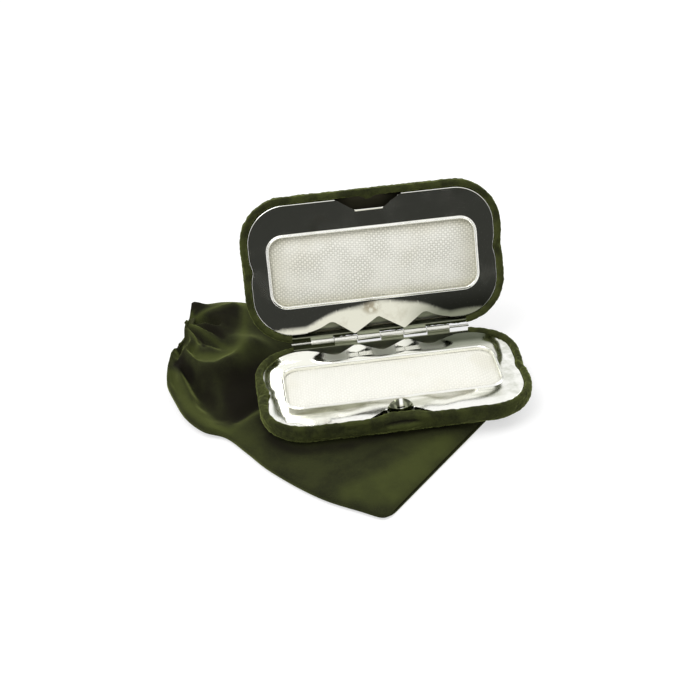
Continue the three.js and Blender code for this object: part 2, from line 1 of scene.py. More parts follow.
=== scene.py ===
# Charcoal hand warmer, dressed piece by piece in the order in which it is put together.
# Shapes are drawn in millimetres. finished() sets a piece in its place, in metres.
import math

import bmesh
import bpy
from mathutils import Matrix, Vector, noise


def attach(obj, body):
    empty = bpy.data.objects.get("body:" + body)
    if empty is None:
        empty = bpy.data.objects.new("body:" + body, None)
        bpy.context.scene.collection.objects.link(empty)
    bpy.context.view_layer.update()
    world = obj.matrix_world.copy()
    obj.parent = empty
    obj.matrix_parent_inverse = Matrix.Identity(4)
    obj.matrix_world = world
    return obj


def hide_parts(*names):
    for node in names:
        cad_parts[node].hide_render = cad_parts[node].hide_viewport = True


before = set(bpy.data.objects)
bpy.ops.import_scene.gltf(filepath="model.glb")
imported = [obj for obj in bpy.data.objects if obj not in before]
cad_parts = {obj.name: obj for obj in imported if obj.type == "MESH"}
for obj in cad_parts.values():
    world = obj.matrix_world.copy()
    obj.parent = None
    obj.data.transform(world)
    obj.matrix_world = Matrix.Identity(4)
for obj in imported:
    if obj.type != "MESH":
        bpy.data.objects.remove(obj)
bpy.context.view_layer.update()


# Pouch bag
# Velveteen, cut in one panel, folded, and sewn along its bottom and one long side.
# It lies flat under the case, and elastic in the hem draws its neck into folds.
BAG_CORNER = Vector((-12.3, -78.2, 0))
BAG_PLACE = Matrix.Translation(BAG_CORNER) @ Matrix.Rotation(math.radians(48.9), 4, "Z")
CLOTH_THICKNESS = 0.8
AROUND_BAG = 200
ALONG_BAG = 132
HALF_LIT = 0.5
LIP_MIDDLE = 44.5
LIP_BACK = 3.4
HEM_MIDDLE = 65.5
HEM_RISE = 3.4
NOTHING = Vector((0, 0, 0))


class Shade:
    """An output of a shader node. Sums on it add Math nodes to its graph."""

    def __init__(self, graph, output):
        self.graph = graph
        self.output = output

    def sum(self, operation, first, second=0.0, clamp=False):
        settings = {"operation": operation, "use_clamp": clamp}
        return self.graph.add("ShaderNodeMath", settings, {0: first, 1: second})

    def __add__(self, other):
        return self.sum("ADD", self, other)

    def __radd__(self, other):
        return self.sum("ADD", other, self)

    def __sub__(self, other):
        return self.sum("SUBTRACT", self, other)

    def __rsub__(self, other):
        return self.sum("SUBTRACT", other, self)

    def __mul__(self, other):
        return self.sum("MULTIPLY", self, other)

    def __rmul__(self, other):
        return self.sum("MULTIPLY", other, self)

    def __truediv__(self, other):
        return self.sum("DIVIDE", self, other)

    def __pow__(self, other):
        return self.sum("POWER", self, other)

    def __abs__(self):
        return self.sum("ABSOLUTE", self)

    def sine(self):
        return self.sum("SINE", self)

    def held(self):
        return self.sum("ADD", self, 0.0, clamp=True)

    def above(self, low, high):
        """0 below low, 1 above high, smooth between."""
        return self.graph.add(
            "ShaderNodeMapRange",
            {"interpolation_type": "SMOOTHSTEP"},
            {"Value": self, "From Min": low, "From Max": high},
        )

    def below(self, low, high):
        """1 below low, 0 above high, smooth between."""
        return 1 - self.above(low, high)


def colour(red, green, blue):
    """A colour as it is read off a screen, from 0 to 255, for a shader."""
    linear = []
    for part in (red, green, blue):
        part /= 255
        linear.append(part / 12.92 if part <= 0.04045 else ((part + 0.055) / 1.055) ** 2.4)
    return (*linear, 1)


class Graph:
    """A node tree whose nodes are added one by one, before the shader that it feeds."""

    def __init__(self, owner, shader):
        owner.use_nodes = True
        self.tree = owner.node_tree
        self.body = self.tree.nodes[shader]

    def add(self, kind, settings, sockets, output=0):
        node = self.tree.nodes.new(kind)
        for name, value in settings.items():
            setattr(node, name, value)
        for name, value in sockets.items():
            if isinstance(value, Shade):
                self.tree.links.new(value.output, node.inputs[name])
            else:
                node.inputs[name].default_value = value
        return Shade(self, node.outputs[output])

    def feed(self, socket, value):
        self.tree.links.new(value.output, self.body.inputs[socket])

    def looked_at(self):
        """1 for what the camera sees, itself, in metal or through glass, and 0 for lighting."""
        rays = ("Is Camera Ray", "Is Glossy Ray", "Is Transmission Ray")
        camera, gloss, glass = [self.add("ShaderNodeLightPath", {}, {}, ray) for ray in rays]
        return (camera + gloss + glass).held()


class Finish(Graph):
    """A material. Its constants are named as the sockets are, with _ for a space."""

    def __init__(self, name, **constants):
        self.material = bpy.data.materials.new(name)
        super().__init__(self.material, "Principled BSDF")
        for socket, value in constants.items():
            self.body.inputs[socket.replace("_", " ")].default_value = value

    def place(self):
        """Where a point lies in the model, in metres."""
        return self.add("ShaderNodeTexCoord", {}, {}, "Object")

    def laid(self, name):
        """Where a point lies on its own piece, in millimetres."""
        return self.add("ShaderNodeUVMap", {"uv_map": name}, {}, "UV")

    def speckle(self, place, size_mm, detail=2.0, roughness=0.5):
        sockets = {"Vector": place, "Scale": 1000 / size_mm, "Detail": detail, "Roughness": roughness}
        return self.add("ShaderNodeTexNoise", {}, sockets, "Fac")

    def part(self, vector, index):
        return self.add("ShaderNodeSeparateXYZ", {}, {0: vector}, index)

    def between(self, factor, first, second):
        settings = {"data_type": "RGBA", "clamp_factor": True}
        return self.add("ShaderNodeMix", settings, {0: factor, 6: first, 7: second}, 2)

    def relief(self, height, depth_mm, below=None):
        sockets = {"Height": height, "Distance": depth_mm / 1000, "Strength": 1.0}
        if below is not None:
            sockets["Normal"] = below
        return self.add("ShaderNodeBump", {}, sockets)

    def over(self, factor, sockets):
        """Lays the finish over a second body, which shows where the factor is low."""
        second = self.add("ShaderNodeBsdfPrincipled", {}, sockets)
        first = Shade(self, self.body.outputs[0])
        mixed = self.add("ShaderNodeMixShader", {}, {0: factor, 1: second, 2: first})
        self.tree.links.new(mixed.output, self.tree.nodes["Material Output"].inputs["Surface"])


def velvet(name, deep, lit, pile_mm, patch_mm, relief_mm, painted_light=None):
    """Short olive pile: patches where the pile lies another way, single tufts, and a bloom where it is
    seen edge on.

    Its last argument names a layer of painted light and shade, from 0, painted shade, to 1, painted
    highlight.
    """
    cloth = Finish(
        name,
        Roughness=0.92,
        Specular_IOR_Level=0.12,
        Sheen_Weight=1.0,
        Sheen_Roughness=0.4,
        Sheen_Tint=colour(146, 156, 88),
    )
    place = cloth.place()
    patches = cloth.speckle(place, patch_mm, 3.0, 0.55).above(0.36, 0.66)
    tufts = cloth.speckle(place, pile_mm, 2.0, 0.6)
    flecks = cloth.speckle(place, pile_mm * 0.6, 1.0, 0.5).above(0.66, 0.78)
    patches_and_painted_light = cloth.between(patches, deep, lit)
    # Painted light and shade: a high layer value lightens the pile to a painted highlight colour, and a
    # low one lets a dark body without sheen show as painted shade
    if painted_light:
        painted_level = cloth.add("ShaderNodeAttribute", {"attribute_name": painted_light}, {}, "Fac")
        painted_level_varied = painted_level + (patches - 0.5) * 0.12
        patches_and_painted_light = cloth.between(painted_level_varied.above(0.45, 1.0), patches_and_painted_light, colour(62, 68, 31))
        unlit = {"Base Color": colour(24, 22, 15), "Roughness": 1.0, "Specular IOR Level": 0.1}
        cloth.over(painted_level_varied.above(-0.05, 0.5), unlit)
    worn = cloth.between((tufts - 0.5) * 0.8 + 0.15, patches_and_painted_light, colour(60, 64, 32))
    cloth.feed("Base Color", cloth.between(flecks * 0.3, worn, colour(84, 90, 48)))
    cloth.feed("Normal", cloth.relief(tufts, relief_mm, cloth.relief(patches, relief_mm * 2)))
    return cloth.material


def in_scene(name, data):
    """Sets a new object in the scene."""
    thing = bpy.data.objects.new(name, data)
    bpy.context.scene.collection.objects.link(thing)
    return thing


def meshed(bm, name, material):
    """Turns a drawn shape into an object."""
    mesh = bpy.data.meshes.new(name)
    bm.to_mesh(mesh)
    bm.free()
    mesh.materials.append(material)
    return in_scene(name, mesh)


def finished(bm, name, place, finish, body, nodes, thick=0.0, even=True, round_off=0, edge=0.0):
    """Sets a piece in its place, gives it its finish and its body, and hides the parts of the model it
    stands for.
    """
    bmesh.ops.remove_doubles(bm, verts=bm.verts, dist=0.002)
    bmesh.ops.transform(bm, matrix=Matrix.Scale(0.001, 4) @ place, verts=bm.verts)
    for face in bm.faces:
        face.smooth = True
    thing = meshed(bm, name, finish)
    if thick:
        wall = thing.modifiers.new("wall", "SOLIDIFY")
        wall.thickness = thick / 1000
        wall.offset = -1
        wall.use_even_offset = even
        wall.use_quality_normals = True
    if edge:
        rim = thing.modifiers.new("edge", "BEVEL")
        rim.width = edge / 1000
        rim.segments = 2
        rim.limit_method = "ANGLE"
        rim.angle_limit = math.radians(50)
        rim.harden_normals = True
    if round_off:
        soft = thing.modifiers.new("soft", "SUBSURF")
        soft.levels = round_off
        soft.render_levels = round_off
    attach(thing, body)
    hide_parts(*nodes)
    return thing


def eased(rows, reach):
    """A row between two rows, on a smooth curve through all of them."""
    step = min(int(reach), len(rows) - 2)
    share = reach - step
    before = rows[max(step - 1, 0)]
    first = rows[step]
    second = rows[step + 1]
    after = rows[min(step + 2, len(rows) - 1)]
    made = []
    for a, b, c, d in zip(before, first, second, after):
        lean = (c - a) / 2
        fall = (d - b) / 2
        cubic = 2 * b - 2 * c + lean + fall
        square = 3 * c - 3 * b - 2 * lean - fall
        made.append(((cubic * share + square) * share + lean) * share + b)
    return made


# Rows from the sewn bottom to the mouth. Each holds the distance along the bag of its left
# and right edge, the place of these edges across it, its underside and top, the height of
# its edges, how much of the width lies flat, how square it is, and how far it leans back.
BAG_ROWS = [
    (1.3, 1.3, 1.2, 93.0, 0.0, 2.0, 0.9, 0.90, 4.0, 0.00),
    (3.6, 3.6, -1.8, 95.4, 0.0, 3.4, 1.1, 0.90, 4.0, 0.00),
    (12.0, 12.0, -2.7, 96.0, 0.0, 4.8, 1.2, 0.90, 4.0, 0.00),
    (27.0, 27.0, -3.8, 96.0, 0.0, 5.0, 1.2, 0.90, 4.0, 0.00),
    (42.0, 42.0, -2.4, 96.0, 0.0, 5.0, 1.2, 0.90, 4.0, 0.00),
    (59.5, 59.5, 1.2, 96.0, 0.0, 5.0, 1.2, 0.90, 4.0, 0.00),
    (73.0, 73.0, 5.8, 95.5, 0.0, 5.0, 1.2, 0.90, 4.0, 0.00),
    (87.0, 87.0, 9.9, 95.0, 0.0, 5.0, 1.4, 0.90, 4.0, 0.00),
    (97.4, 97.4, 8.0, 94.5, 0.0, 5.0, 2.2, 0.88, 3.6, 0.00),
    (109.0, 109.0, 10.6, 94.5, 0.0, 8.2, 3.4, 0.86, 3.0, 0.00),
    (120.0, 121.0, 16.9, 94.0, 0.0, 13.4, 4.8, 0.82, 2.6, 0.00),
    (129.0, 132.0, 23.2, 92.0, 0.0, 17.8, 6.0, 0.76, 2.4, 0.00),
    (136.0, 141.0, 32.2, 86.5, 0.0, 19.6, 4.8, 0.66, 2.3, 0.00),
    (139.6, 146.0, 40.4, 78.0, 0.4, 20.4, 4.4, 0.40, 2.1, 0.08),
    (140.6, 149.0, 45.4, 71.0, 1.6, 20.8, 6.0, 0.30, 2.0, 0.22),
    (141.2, 150.0, 48.6, 67.5, 2.8, 20.4, 7.8, 0.20, 2.1, 0.30),
]


def bag_row(row, ring):
    """Moves a ring of points to one row round the bag, the first half of it on top."""
    along_left, along_right, left, right, low, high, lift, flat, square, lean = row
    for vert in ring:
        turn = math.atan2(vert.co.y, vert.co.x)
        side = 1 - 2 * abs(turn) / math.pi
        side = 0.55 * side + 0.45 * math.sin(side * math.pi / 2)
        share = (1 + side) / 2
        if turn > 0:
            bulge = (1 - abs(side) ** square) ** (1 / square)
            rise = low + lift + (high - low - lift) * bulge
        else:
            rise = low + lift * max(0.0, (abs(side) - flat) / (1 - flat)) ** 2
        along = along_left + (along_right - along_left) * share - lean * (rise - (low + high) / 2)
        vert.co = (left + (right - left) * share, along, rise)


# Folds in the upper side. Each has its half width, how sharp it is, and the points it
# passes through: across the bag, along it, and above the table.
BAG_FOLDS = [
    (9, 2, [(60, 112, 15), (52, 122, 17), (48, 128, 17)]),
    (6, 2, [(44, 112, 13), (38, 117, 14), (37, 125, 14)]),
    (4.5, 2, [(38, 86.5, 2.6), (30, 88.5, 2.4), (21, 90.5, 2.4), (18.5, 98, 2.4), (22.5, 107, 2.5)]),
    (3.6, 2, [(22.5, 107, 2.5), (27, 115.5, 3), (33.5, 125, 3.6), (38.5, 131.5, 4)]),
    (2.8, 2, [(9.5, 89, 4), (9.4, 94, 5), (11.3, 101.5, 5.5), (14.5, 109, 6), (19.4, 118, 6.5)]),
    (2.8, 2, [(19.4, 118, 6.5), (25, 126.5, 7), (30.8, 132.2, 8), (34, 135.5, 9)]),
    (2.2, 1.4, [(33.5, 131, 10), (36.5, 134.5, 11), (39.5, 139, 12), (44, 140.5, 12.5)]),
    (2.2, 2, [(37, 132.5, 4.5), (40.5, 135.2, 3.5), (45, 138.5, 4)]),
    (2.4, 1.4, [(37.3, 126, 14), (39, 131.7, 16), (44, 134.5, 17), (51, 138.3, 18), (57, 141.8, 18.5)]),
    (3.5, 2, [(49.5, 130, 12.5), (50.6, 124, 12), (51, 118, 12.5)]),
    (2.2, 1.3, [(39, 131.7, 16), (35.5, 124, 16), (34, 117, 16.5), (36.5, 112, 17), (42, 109.5, 17)]),
    (2.6, 1.5, [(42, 109.5, 17), (49, 109.5, 16.5), (57, 111.5, 15.5)]),
    (2.2, 1.3, [
        (57, 141.8, 18.4), (62, 139.2, 19.2), (67, 137.2, 19.4), (72, 135.6, 19.2), (78, 133.5, 18.2),
    ]),
    (1.8, 2, [(57.5, 139.5, 15.5), (60.5, 136, 15), (62, 131, 14.5)]),
    (1.3, 1.2, [(56, 139.5, 16.6), (56.1, 134, 15.4), (56.4, 128, 14.4), (55.2, 122.5, 14)]),
    (1.3, 1.2, [(52, 138.4, 16), (50.2, 134, 14.6), (47.8, 129.5, 14.6), (45, 125, 14.6)]),
]


# Painted light and shade on the pouch. Each stroke has its reach, the level of painted light that it
# sets, from 0, painted shade, to 1, painted highlight, and its points; a stroke that ends where it
# begins sets all that it encloses.
BAG_LIGHT_STROKES = [
    (6, 0.62, [(4, 62), (12, 84)]),
    (5, 0.8, [(3, 10), (3, 22), (12, 16), (25, 11), (38, 9), (50, 7), (40, 4), (8, 5), (3, 10)]),
    (3.5, 0.12, [(27, 82), (19.6, 73), (14.5, 65), (13, 57), (16.5, 49), (21.5, 43), (27.5, 37.5)]),
    (3.5, 0.12, [(27.5, 37.5), (36, 31), (42, 25.5), (47.5, 19.5), (60, 9)]),
    (1.3, 0.2, [(4, 33.8), (9.3, 32.1), (17.1, 27.8), (27.1, 25), (34, 22.9)]),
    (3.2, 0.96, [(30, 131.5), (24, 124.5), (18, 115), (13.5, 105), (11.3, 96), (10.8, 90)]),
    (2.0, 0.14, [
        (32.5, 116), (36, 111), (44, 106.5), (54, 105), (58, 103.5), (54, 100), (43, 94.5), (33, 87.6),
        (24, 88.4), (16.5, 89.2), (18, 97), (22.5, 104.5), (27, 113), (31, 119), (32.5, 116),
    ]),
    (2.4, 0.0, [
        (30, 103), (46, 102), (54, 101), (42, 94.5), (33, 88.6), (25, 89.4), (26, 97), (30, 103),
    ]),
    (2.0, 0.34, [(32, 109.3), (29.3, 105.8), (24.5, 100.4)]),
    (1.1, 0.0, [
        (33.5, 133), (37.2, 133.5), (37.4, 130), (34.5, 125.5), (32, 121), (31, 126), (33.5, 133),
    ]),
    (2.6, 1.0, [(41.5, 130.5), (38.8, 126.5), (39.2, 122), (41.5, 117.8), (47, 113.3), (51, 111)]),
    (2.6, 0.9, [(51, 111), (55, 111.6), (60, 115), (65.5, 119), (73.5, 126), (81, 131.7)]),
    (1.6, 0.1, [
        (64, 135.5), (72, 133), (77, 131), (73.5, 127.8), (66.5, 123.5), (60, 121.5), (64, 135.5),
    ]),
    (1.4, 0.16, [(60, 121.5), (58, 125), (58, 130), (59.5, 134.5), (64, 135.5), (60, 121.5)]),
    (1.4, 0.0, [(56.4, 139), (56.8, 133.7), (57, 127.7), (55.8, 122.5)]),
    (1.2, 0.0, [(51.2, 137.5), (50.4, 131.5), (46, 125.5)]),
    (1.1, 0.9, [(54.2, 139.5), (53.6, 132), (53.2, 126), (51.8, 119), (51, 113)]),
    (1.5, 0.9, [(48.6, 137), (46.9, 131), (42.8, 127)]),
    (1.6, 0.1, [(60, 145), (66, 147), (68, 142.5), (62, 143), (60, 145)]),
    (0.8, 0.9, [(58.5, 143), (62, 141.6), (66, 140.6), (69.5, 139.6)]),
    (1.3, 0.92, [(57.6, 141.5), (61.3, 139.6), (67.1, 138.2), (71, 136.2)]),
    (1.0, 0.1, [(61, 141.8), (65, 141.2), (69, 140.2)]),
    (2.5, 0.36, [
        (70, 116), (64.5, 110), (60, 107), (58, 105), (62, 103), (70, 104), (76, 112), (70, 116),
    ]),
    (1.1, 0.85, [(11.5, 86.6), (16, 86.2), (23, 85.8), (31, 85.4)]),
]


def clamped(share):
    """A number held between 0 and 1."""
    return max(0, min(1, share))


def hump(value, middle, width):
    """1 in the middle, falling off to both sides over a width."""
    return math.exp(-(((value - middle) / width) ** 2))


def from_line(point, first, second):
    """How far a point lies from a line between two points, and how far along it."""
    line = Vector((second[0] - first[0], second[1] - first[1]))
    off = Vector((point.x - first[0], point.y - first[1]))
    share = clamped(off.dot(line) / line.length_squared)
    return (off - line * share).length, share


def folded(vert, half_width, sharpness, points):
    """Draws a point of the bag towards a fold, the nearer the more."""
    nearest = None
    for first, second in zip(points, points[1:]):
        far, share = from_line(vert.co, first, second)
        if nearest is None or far < nearest[0]:
            nearest = (far, first[2] + (second[2] - first[2]) * share)
    pull = math.exp(-((nearest[0] / half_width) ** sharpness))
    vert.co.z += pull * (nearest[1] - vert.co.z)


def enclosed(point, points):
    """Whether a line that ends where it begins goes round a point."""
    inside = False
    for first, second in zip(points, points[1:]):
        if (first[1] > point.y) != (second[1] > point.y):
            share = (point.y - first[1]) / (second[1] - first[1])
            if point.x < first[0] + (second[0] - first[0]) * share:
                inside = not inside
    return inside


def stroked(lean, point, reach, target, points):
    """The level of painted light at a point after a stroke."""
    far = min(from_line(point, *pair)[0] for pair in zip(points, points[1:]))
    if far < 2.6 * reach or points[0] == points[-1]:
        if points[0] == points[-1] and enclosed(point, points):
            far = 0
        lean += hump(far, 0, reach) * (target - lean)
    return lean


def lip_drawn_back(vert):
    """Draws the upper lip of the mouth back at its left, and stands its hem up at its right."""
    high = clamped((vert.co.z - 11) / 3)
    late = clamped((vert.co.y - 127) / 8)
    vert.co.y -= LIP_BACK * hump(vert.co.x, LIP_MIDDLE, 5.5) * high * late
    hem = clamped((vert.co.y - 141) / 5)
    vert.co.z += HEM_RISE * hem * hump(vert.co.x, HEM_MIDDLE, 4.5)


def edges_of(verts):
    """The edges that meet at some points."""
    return {edge for vert in verts for edge in vert.link_edges}


def joined(bm, last_ring, ring):
    """Joins a ring of points to the edges of the ring before it, and gives its own edges."""
    edges = edges_of(ring)
    if last_ring:
        bmesh.ops.bridge_loops(bm, edges=list(last_ring | edges))
    return edges


def set_down(bm):
    """Turns all faces the same way, with the lowest of them looking down."""
    bmesh.ops.recalc_face_normals(bm, faces=bm.faces)
    lowest = min(bm.faces, key=lambda face: face.calc_center_median().z)
    if lowest.normal.z > 0:
        bmesh.ops.reverse_faces(bm, faces=bm.faces)


bag = bmesh.new()
painted_light = bag.verts.layers.float.new("painted_light")
last_ring = None
for step in range(ALONG_BAG + 1):
    ring = bmesh.ops.create_circle(bag, segments=AROUND_BAG, radius=1)["verts"]
    top = [vert for vert in ring if vert.co.y > 0.01]
    bag_row(eased(BAG_ROWS, step * (len(BAG_ROWS) - 1) / ALONG_BAG), ring)
    for vert in ring:
        vert[painted_light] = HALF_LIT
    for vert in top:
        for fold in BAG_FOLDS:
            folded(vert, *fold)
        # The strokes paint light and shade on the upper side
        for stroke in BAG_LIGHT_STROKES:
            vert[painted_light] = stroked(vert[painted_light], vert.co, *stroke)
        lip_drawn_back(vert)
    last_ring = joined(bag, last_ring, ring)

# The ridge over the hollow is full and round, and next to a stroke the painted light and shade fade bit
# by bit
ridge = [vert for vert in bag.verts if 30 < vert.co.x < 62 and 101 < vert.co.y < 121 and vert.co.z > 4]
for smoothing in range(4):
    bmesh.ops.smooth_vert(
        bag, verts=ridge, factor=0.5, use_axis_x=True, use_axis_y=True, use_axis_z=True,
    )
for smoothing in range(2):
    beside = {vert: [edge.other_vert(vert)[painted_light] for edge in vert.link_edges] for vert in bag.verts}
    for vert, painted_beside in beside.items():
        vert[painted_light] = vert[painted_light] * 0.4 + 0.6 * sum(painted_beside) / len(painted_beside)

set_down(bag)
POUCH_VELVET = velvet("pouch_velvet", colour(25, 26, 15), colour(36, 38, 20), 0.5, 16, 0.05, "painted_light")
pouch_cloth = finished(
    bag, "pouch_cloth", BAG_PLACE, POUCH_VELVET, "pouch", ["pouch_bag"],
    thick=CLOTH_THICKNESS, even=False,
)


# Pouch elastic
# A narrow band of covered rubber, run through the hem and sewn to itself in a ring.
# It is shorter than the hem, so it gathers the mouth.
ELASTIC_THICKNESS = 0.8
ELASTIC_LINES = 4
HEM_END = 3.6
IN_HEM = 2.4
PLEATS = 46
PLEAT_DEPTH = 0.35

elastic_finish = Finish("elastic", Roughness=0.9, Specular_IOR_Level=0.15)
ribs = elastic_finish.speckle(elastic_finish.place(), 0.6, 2.0, 0.5)
elastic_finish.feed("Base Color", elastic_finish.between(ribs, colour(44, 47, 25), colour(70, 72, 44)))
elastic_finish.feed("Normal", elastic_finish.relief(ribs, 0.15))

band = bmesh.new()
last_ring = None
for step in range(ELASTIC_LINES):
    ring = bmesh.ops.create_circle(band, segments=96, radius=1)["verts"]
    bag_row(BAG_ROWS[-1], ring)
    middle = sum((vert.co for vert in ring), NOTHING.copy()) / len(ring)
    for vert in ring:
        inwards = (middle - vert.co).normalized()
        turn = math.atan2(vert.co.x - middle.x, vert.co.z - middle.z)
        vert.co += inwards * (IN_HEM + PLEAT_DEPTH * math.sin(PLEATS * turn))
        vert.co.y -= HEM_END - step
    last_ring = joined(band, last_ring, ring)
bmesh.ops.recalc_face_normals(band, faces=band.faces)
mouth_elastic = finished(
    band, "mouth_elastic", BAG_PLACE, elastic_finish.material, "pouch", ["pouch_elastic"],
    thick=ELASTIC_THICKNESS, round_off=1,
)


# Pressed trays
# Base and lid are the same pressing of tinned sheet, one turned over. The rear wall runs out
# into straps, rolled round the pin; the knuckles of one half fall between the other's.
CASE_LENGTH = 113
CASE_WIDTH = 63.5
HALF_DEPTH = 8.8
CORNER_RADIUS = 20
FLOOR_RADIUS = 4.5
SHEET = 0.5
SHEET_EDGE = 0.08
VELVET = 1
GLUE_GAP = 0.2
TRAY_INSET = VELVET + GLUE_GAP
TRAY_RIM = -1.35
TRAY_FLOOR = -7.6
HINGE_Y = 32.58
BARREL_RADIUS = 1.35
KNUCKLE_PITCH = 10.2
KNUCKLE_GAP = 0.3
STRAP_DROP = 0.6
STRAP_PARTS = 6
ROLL_ANGLE = math.radians(338)
ROLL_PARTS = 26
RIM_HEIGHT = 14.1
OPEN_ANGLE = math.radians(107.16)
BASE_PLACE = Matrix.Translation((0, 0, RIM_HEIGHT))
LID_PLACE = (
    Matrix.Translation((0, HINGE_Y, RIM_HEIGHT))
    @ Matrix.Rotation(-OPEN_ANGLE, 4, "X")
    @ Matrix.Translation((0, -HINGE_Y, 0))
    @ Matrix.Rotation(math.pi, 4, "Y")
)
HALVES = {"base": BASE_PLACE, "lid": LID_PLACE}
VENT_Y = -0.9
VENT_WIDTH = 3
VENT_DEPTH = 1.5
VENT_TOP = -0.15
VENT_FADE = 5.5
VENT_START = 44.4
VENT_RUN = 9.2


def level_sheet(bm, size, middle, parts=1):
    """Draws a level rectangle, cut across its length into parts, and gives its points."""
    verts = bmesh.ops.create_grid(bm, x_segments=parts, y_segments=1, size=0.5)["verts"]
    bmesh.ops.scale(bm, vec=(*size, 1), verts=verts)
    bmesh.ops.translate(bm, vec=middle, verts=verts)
    return verts


def rounded_ring(bm, half_x, half_y, middle, corner, arc_parts, side_cuts, end_cuts):
    """A ring of edges, begun as a plate whose corners are rounded off."""
    before = set(bm.edges)
    plate = level_sheet(bm, (2 * half_x, 2 * half_y), middle)
    bmesh.ops.bevel(
        bm, geom=plate, offset=corner, offset_type="OFFSET", segments=arc_parts, profile=0.5,
        affect="VERTICES", material=-1,
    )
    ring = [edge for edge in bm.edges if edge not in before]
    faces = {face for edge in ring for face in edge.link_faces}
    bmesh.ops.delete(bm, geom=list(faces), context="FACES_ONLY")
    ring.sort(key=lambda edge: -edge.calc_length())
    bmesh.ops.subdivide_edges(bm, edges=ring[:2], cuts=side_cuts)
    bmesh.ops.subdivide_edges(bm, edges=ring[2:4], cuts=end_cuts)
    return [edge for edge in bm.edges if edge not in before]


def case_ring(bm, inset, height):
    """The plan of the case as a ring of edges, drawn in by an inset."""
    half_x = CASE_LENGTH / 2 - inset
    half_y = CASE_WIDTH / 2 - inset
    return rounded_ring(bm, half_x, half_y, (0, 0, height), CORNER_RADIUS - inset, 18, 44, 22)


def off_core(point, half_x, half_y, middle_y=0):
    """The level line to a point from the nearest point of a rectangle."""
    x = max(-half_x, min(half_x, point.x))
    y = max(middle_y - half_y, min(middle_y + half_y, point.y))
    return Vector((point.x - x, point.y - y, 0))


def off_case_core(point):
    """The level line to a point from the plan's core, which its corners are rounded about."""
    return off_core(point, CASE_LENGTH / 2 - CORNER_RADIUS, CASE_WIDTH / 2 - CORNER_RADIUS)


def out_of_case(point):
    """The level direction that points out of the case at a point of a ring."""
    return off_case_core(point).normalized()


def extruded(bm, line):
    """Extrudes a line of edges, and gives the new points and the new line."""
    made = bmesh.ops.extrude_edge_only(bm, edges=line)["geom"]
    verts = {part for part in made if isinstance(part, bmesh.types.BMVert)}
    return list(verts), [edge for edge in edges_of(verts) if verts.issuperset(edge.verts)]


def drawn(bm, ring, start, profile):
    """Draws a ring of edges through a profile of insets and heights, and gives the last ring."""
    inset, height = start
    for next_inset, next_height in profile:
        verts, ring = extruded(bm, ring)
        for vert in verts:
            vert.co -= out_of_case(vert.co) * (next_inset - inset)
            vert.co.z += next_height - height
        inset, height = next_inset, next_height
    return ring


def closed_in(bm, ring, reach, middle_y, shares, crown=None):
    """Closes a ring in steps towards a middle line, level or over a crown."""
    done = 0
    for share in shares:
        verts, ring = extruded(bm, ring)
        for vert in verts:
            middle = Vector((max(-reach, min(reach, vert.co.x)), middle_y, vert.co.z))
            vert.co = vert.co.lerp(middle, (share - done) / (1 - done))
            if crown:
                vert.co.z += crown(share) - crown(done)
        done = share


def rounded_floor(inset, floor, radius, steps):
    """The round between floor and wall as insets and heights, from the floor up."""
    made = []
    for step in range(1, steps + 1):
        turn = math.pi / 2 * step / steps
        made.append((inset + radius * (1 - math.sin(turn)), floor + radius * (1 - math.cos(turn))))
    return made


def smooth(share):
    """A share from 0 to 1 that starts and ends gently."""
    return share * share * (3 - 2 * share)


def pinch(bm):
    """Presses the vents into the middle of both ends, every layer by the same amount."""
    for vert in bm.verts:
        down = clamped(1 + (vert.co.z - VENT_TOP) / VENT_FADE)
        beyond = clamped((abs(vert.co.x) - VENT_START) / VENT_RUN)
        depth = VENT_DEPTH * hump(vert.co.y, VENT_Y, VENT_WIDTH) * down * down * smooth(beyond)
        vert.co.x -= math.copysign(depth, vert.co.x)


def faced(bm, faces, middle):
    """Turns faces the same way, with most of them away from a point in their middle."""
    bmesh.ops.recalc_face_normals(bm, faces=faces)
    outwards = 0
    for face in faces:
        outwards += face.normal.dot(face.calc_center_median() - middle) * face.calc_area()
    if outwards < 0:
        bmesh.ops.reverse_faces(bm, faces=faces)


def local_layer(bm, first, second):
    """Keeps two parts of each point's place on its own piece, for a finish that follows it."""
    layer = bm.loops.layers.uv.new("laid")
    for face in bm.faces:
        for loop in face.loops:
            loop[layer].uv = (loop.vert.co[first], loop.vert.co[second])


def plate_metal(name, tone, roughness, streak_mm, wave_mm, wave_depth, worn=0.06):
    """Tinned or bright sheet: faint pressing waves, streaky rubbing and a few dull patches."""
    metal = Finish(name, Metallic=1.0, Base_Color=tone)
    place = metal.place()
    waves = metal.speckle(place, wave_mm, 1.0, 0.4)
    rubbed = metal.speckle(place, streak_mm, 4.0, 0.65)
    dull = metal.speckle(place, wave_mm * 0.7, 3.0, 0.6).above(0.55, 0.75)
    metal.tone = metal.between(dull * 0.3, tone, colour(206, 200, 186))
    metal.dull = roughness + rubbed * worn + dull * worn
    metal.feed("Base Color", metal.tone)
    metal.feed("Roughness", metal.dull)
    scratches = metal.relief(rubbed, worn * 0.005)
    metal.feed("Normal", metal.relief(waves, wave_depth, scratches))
    return metal


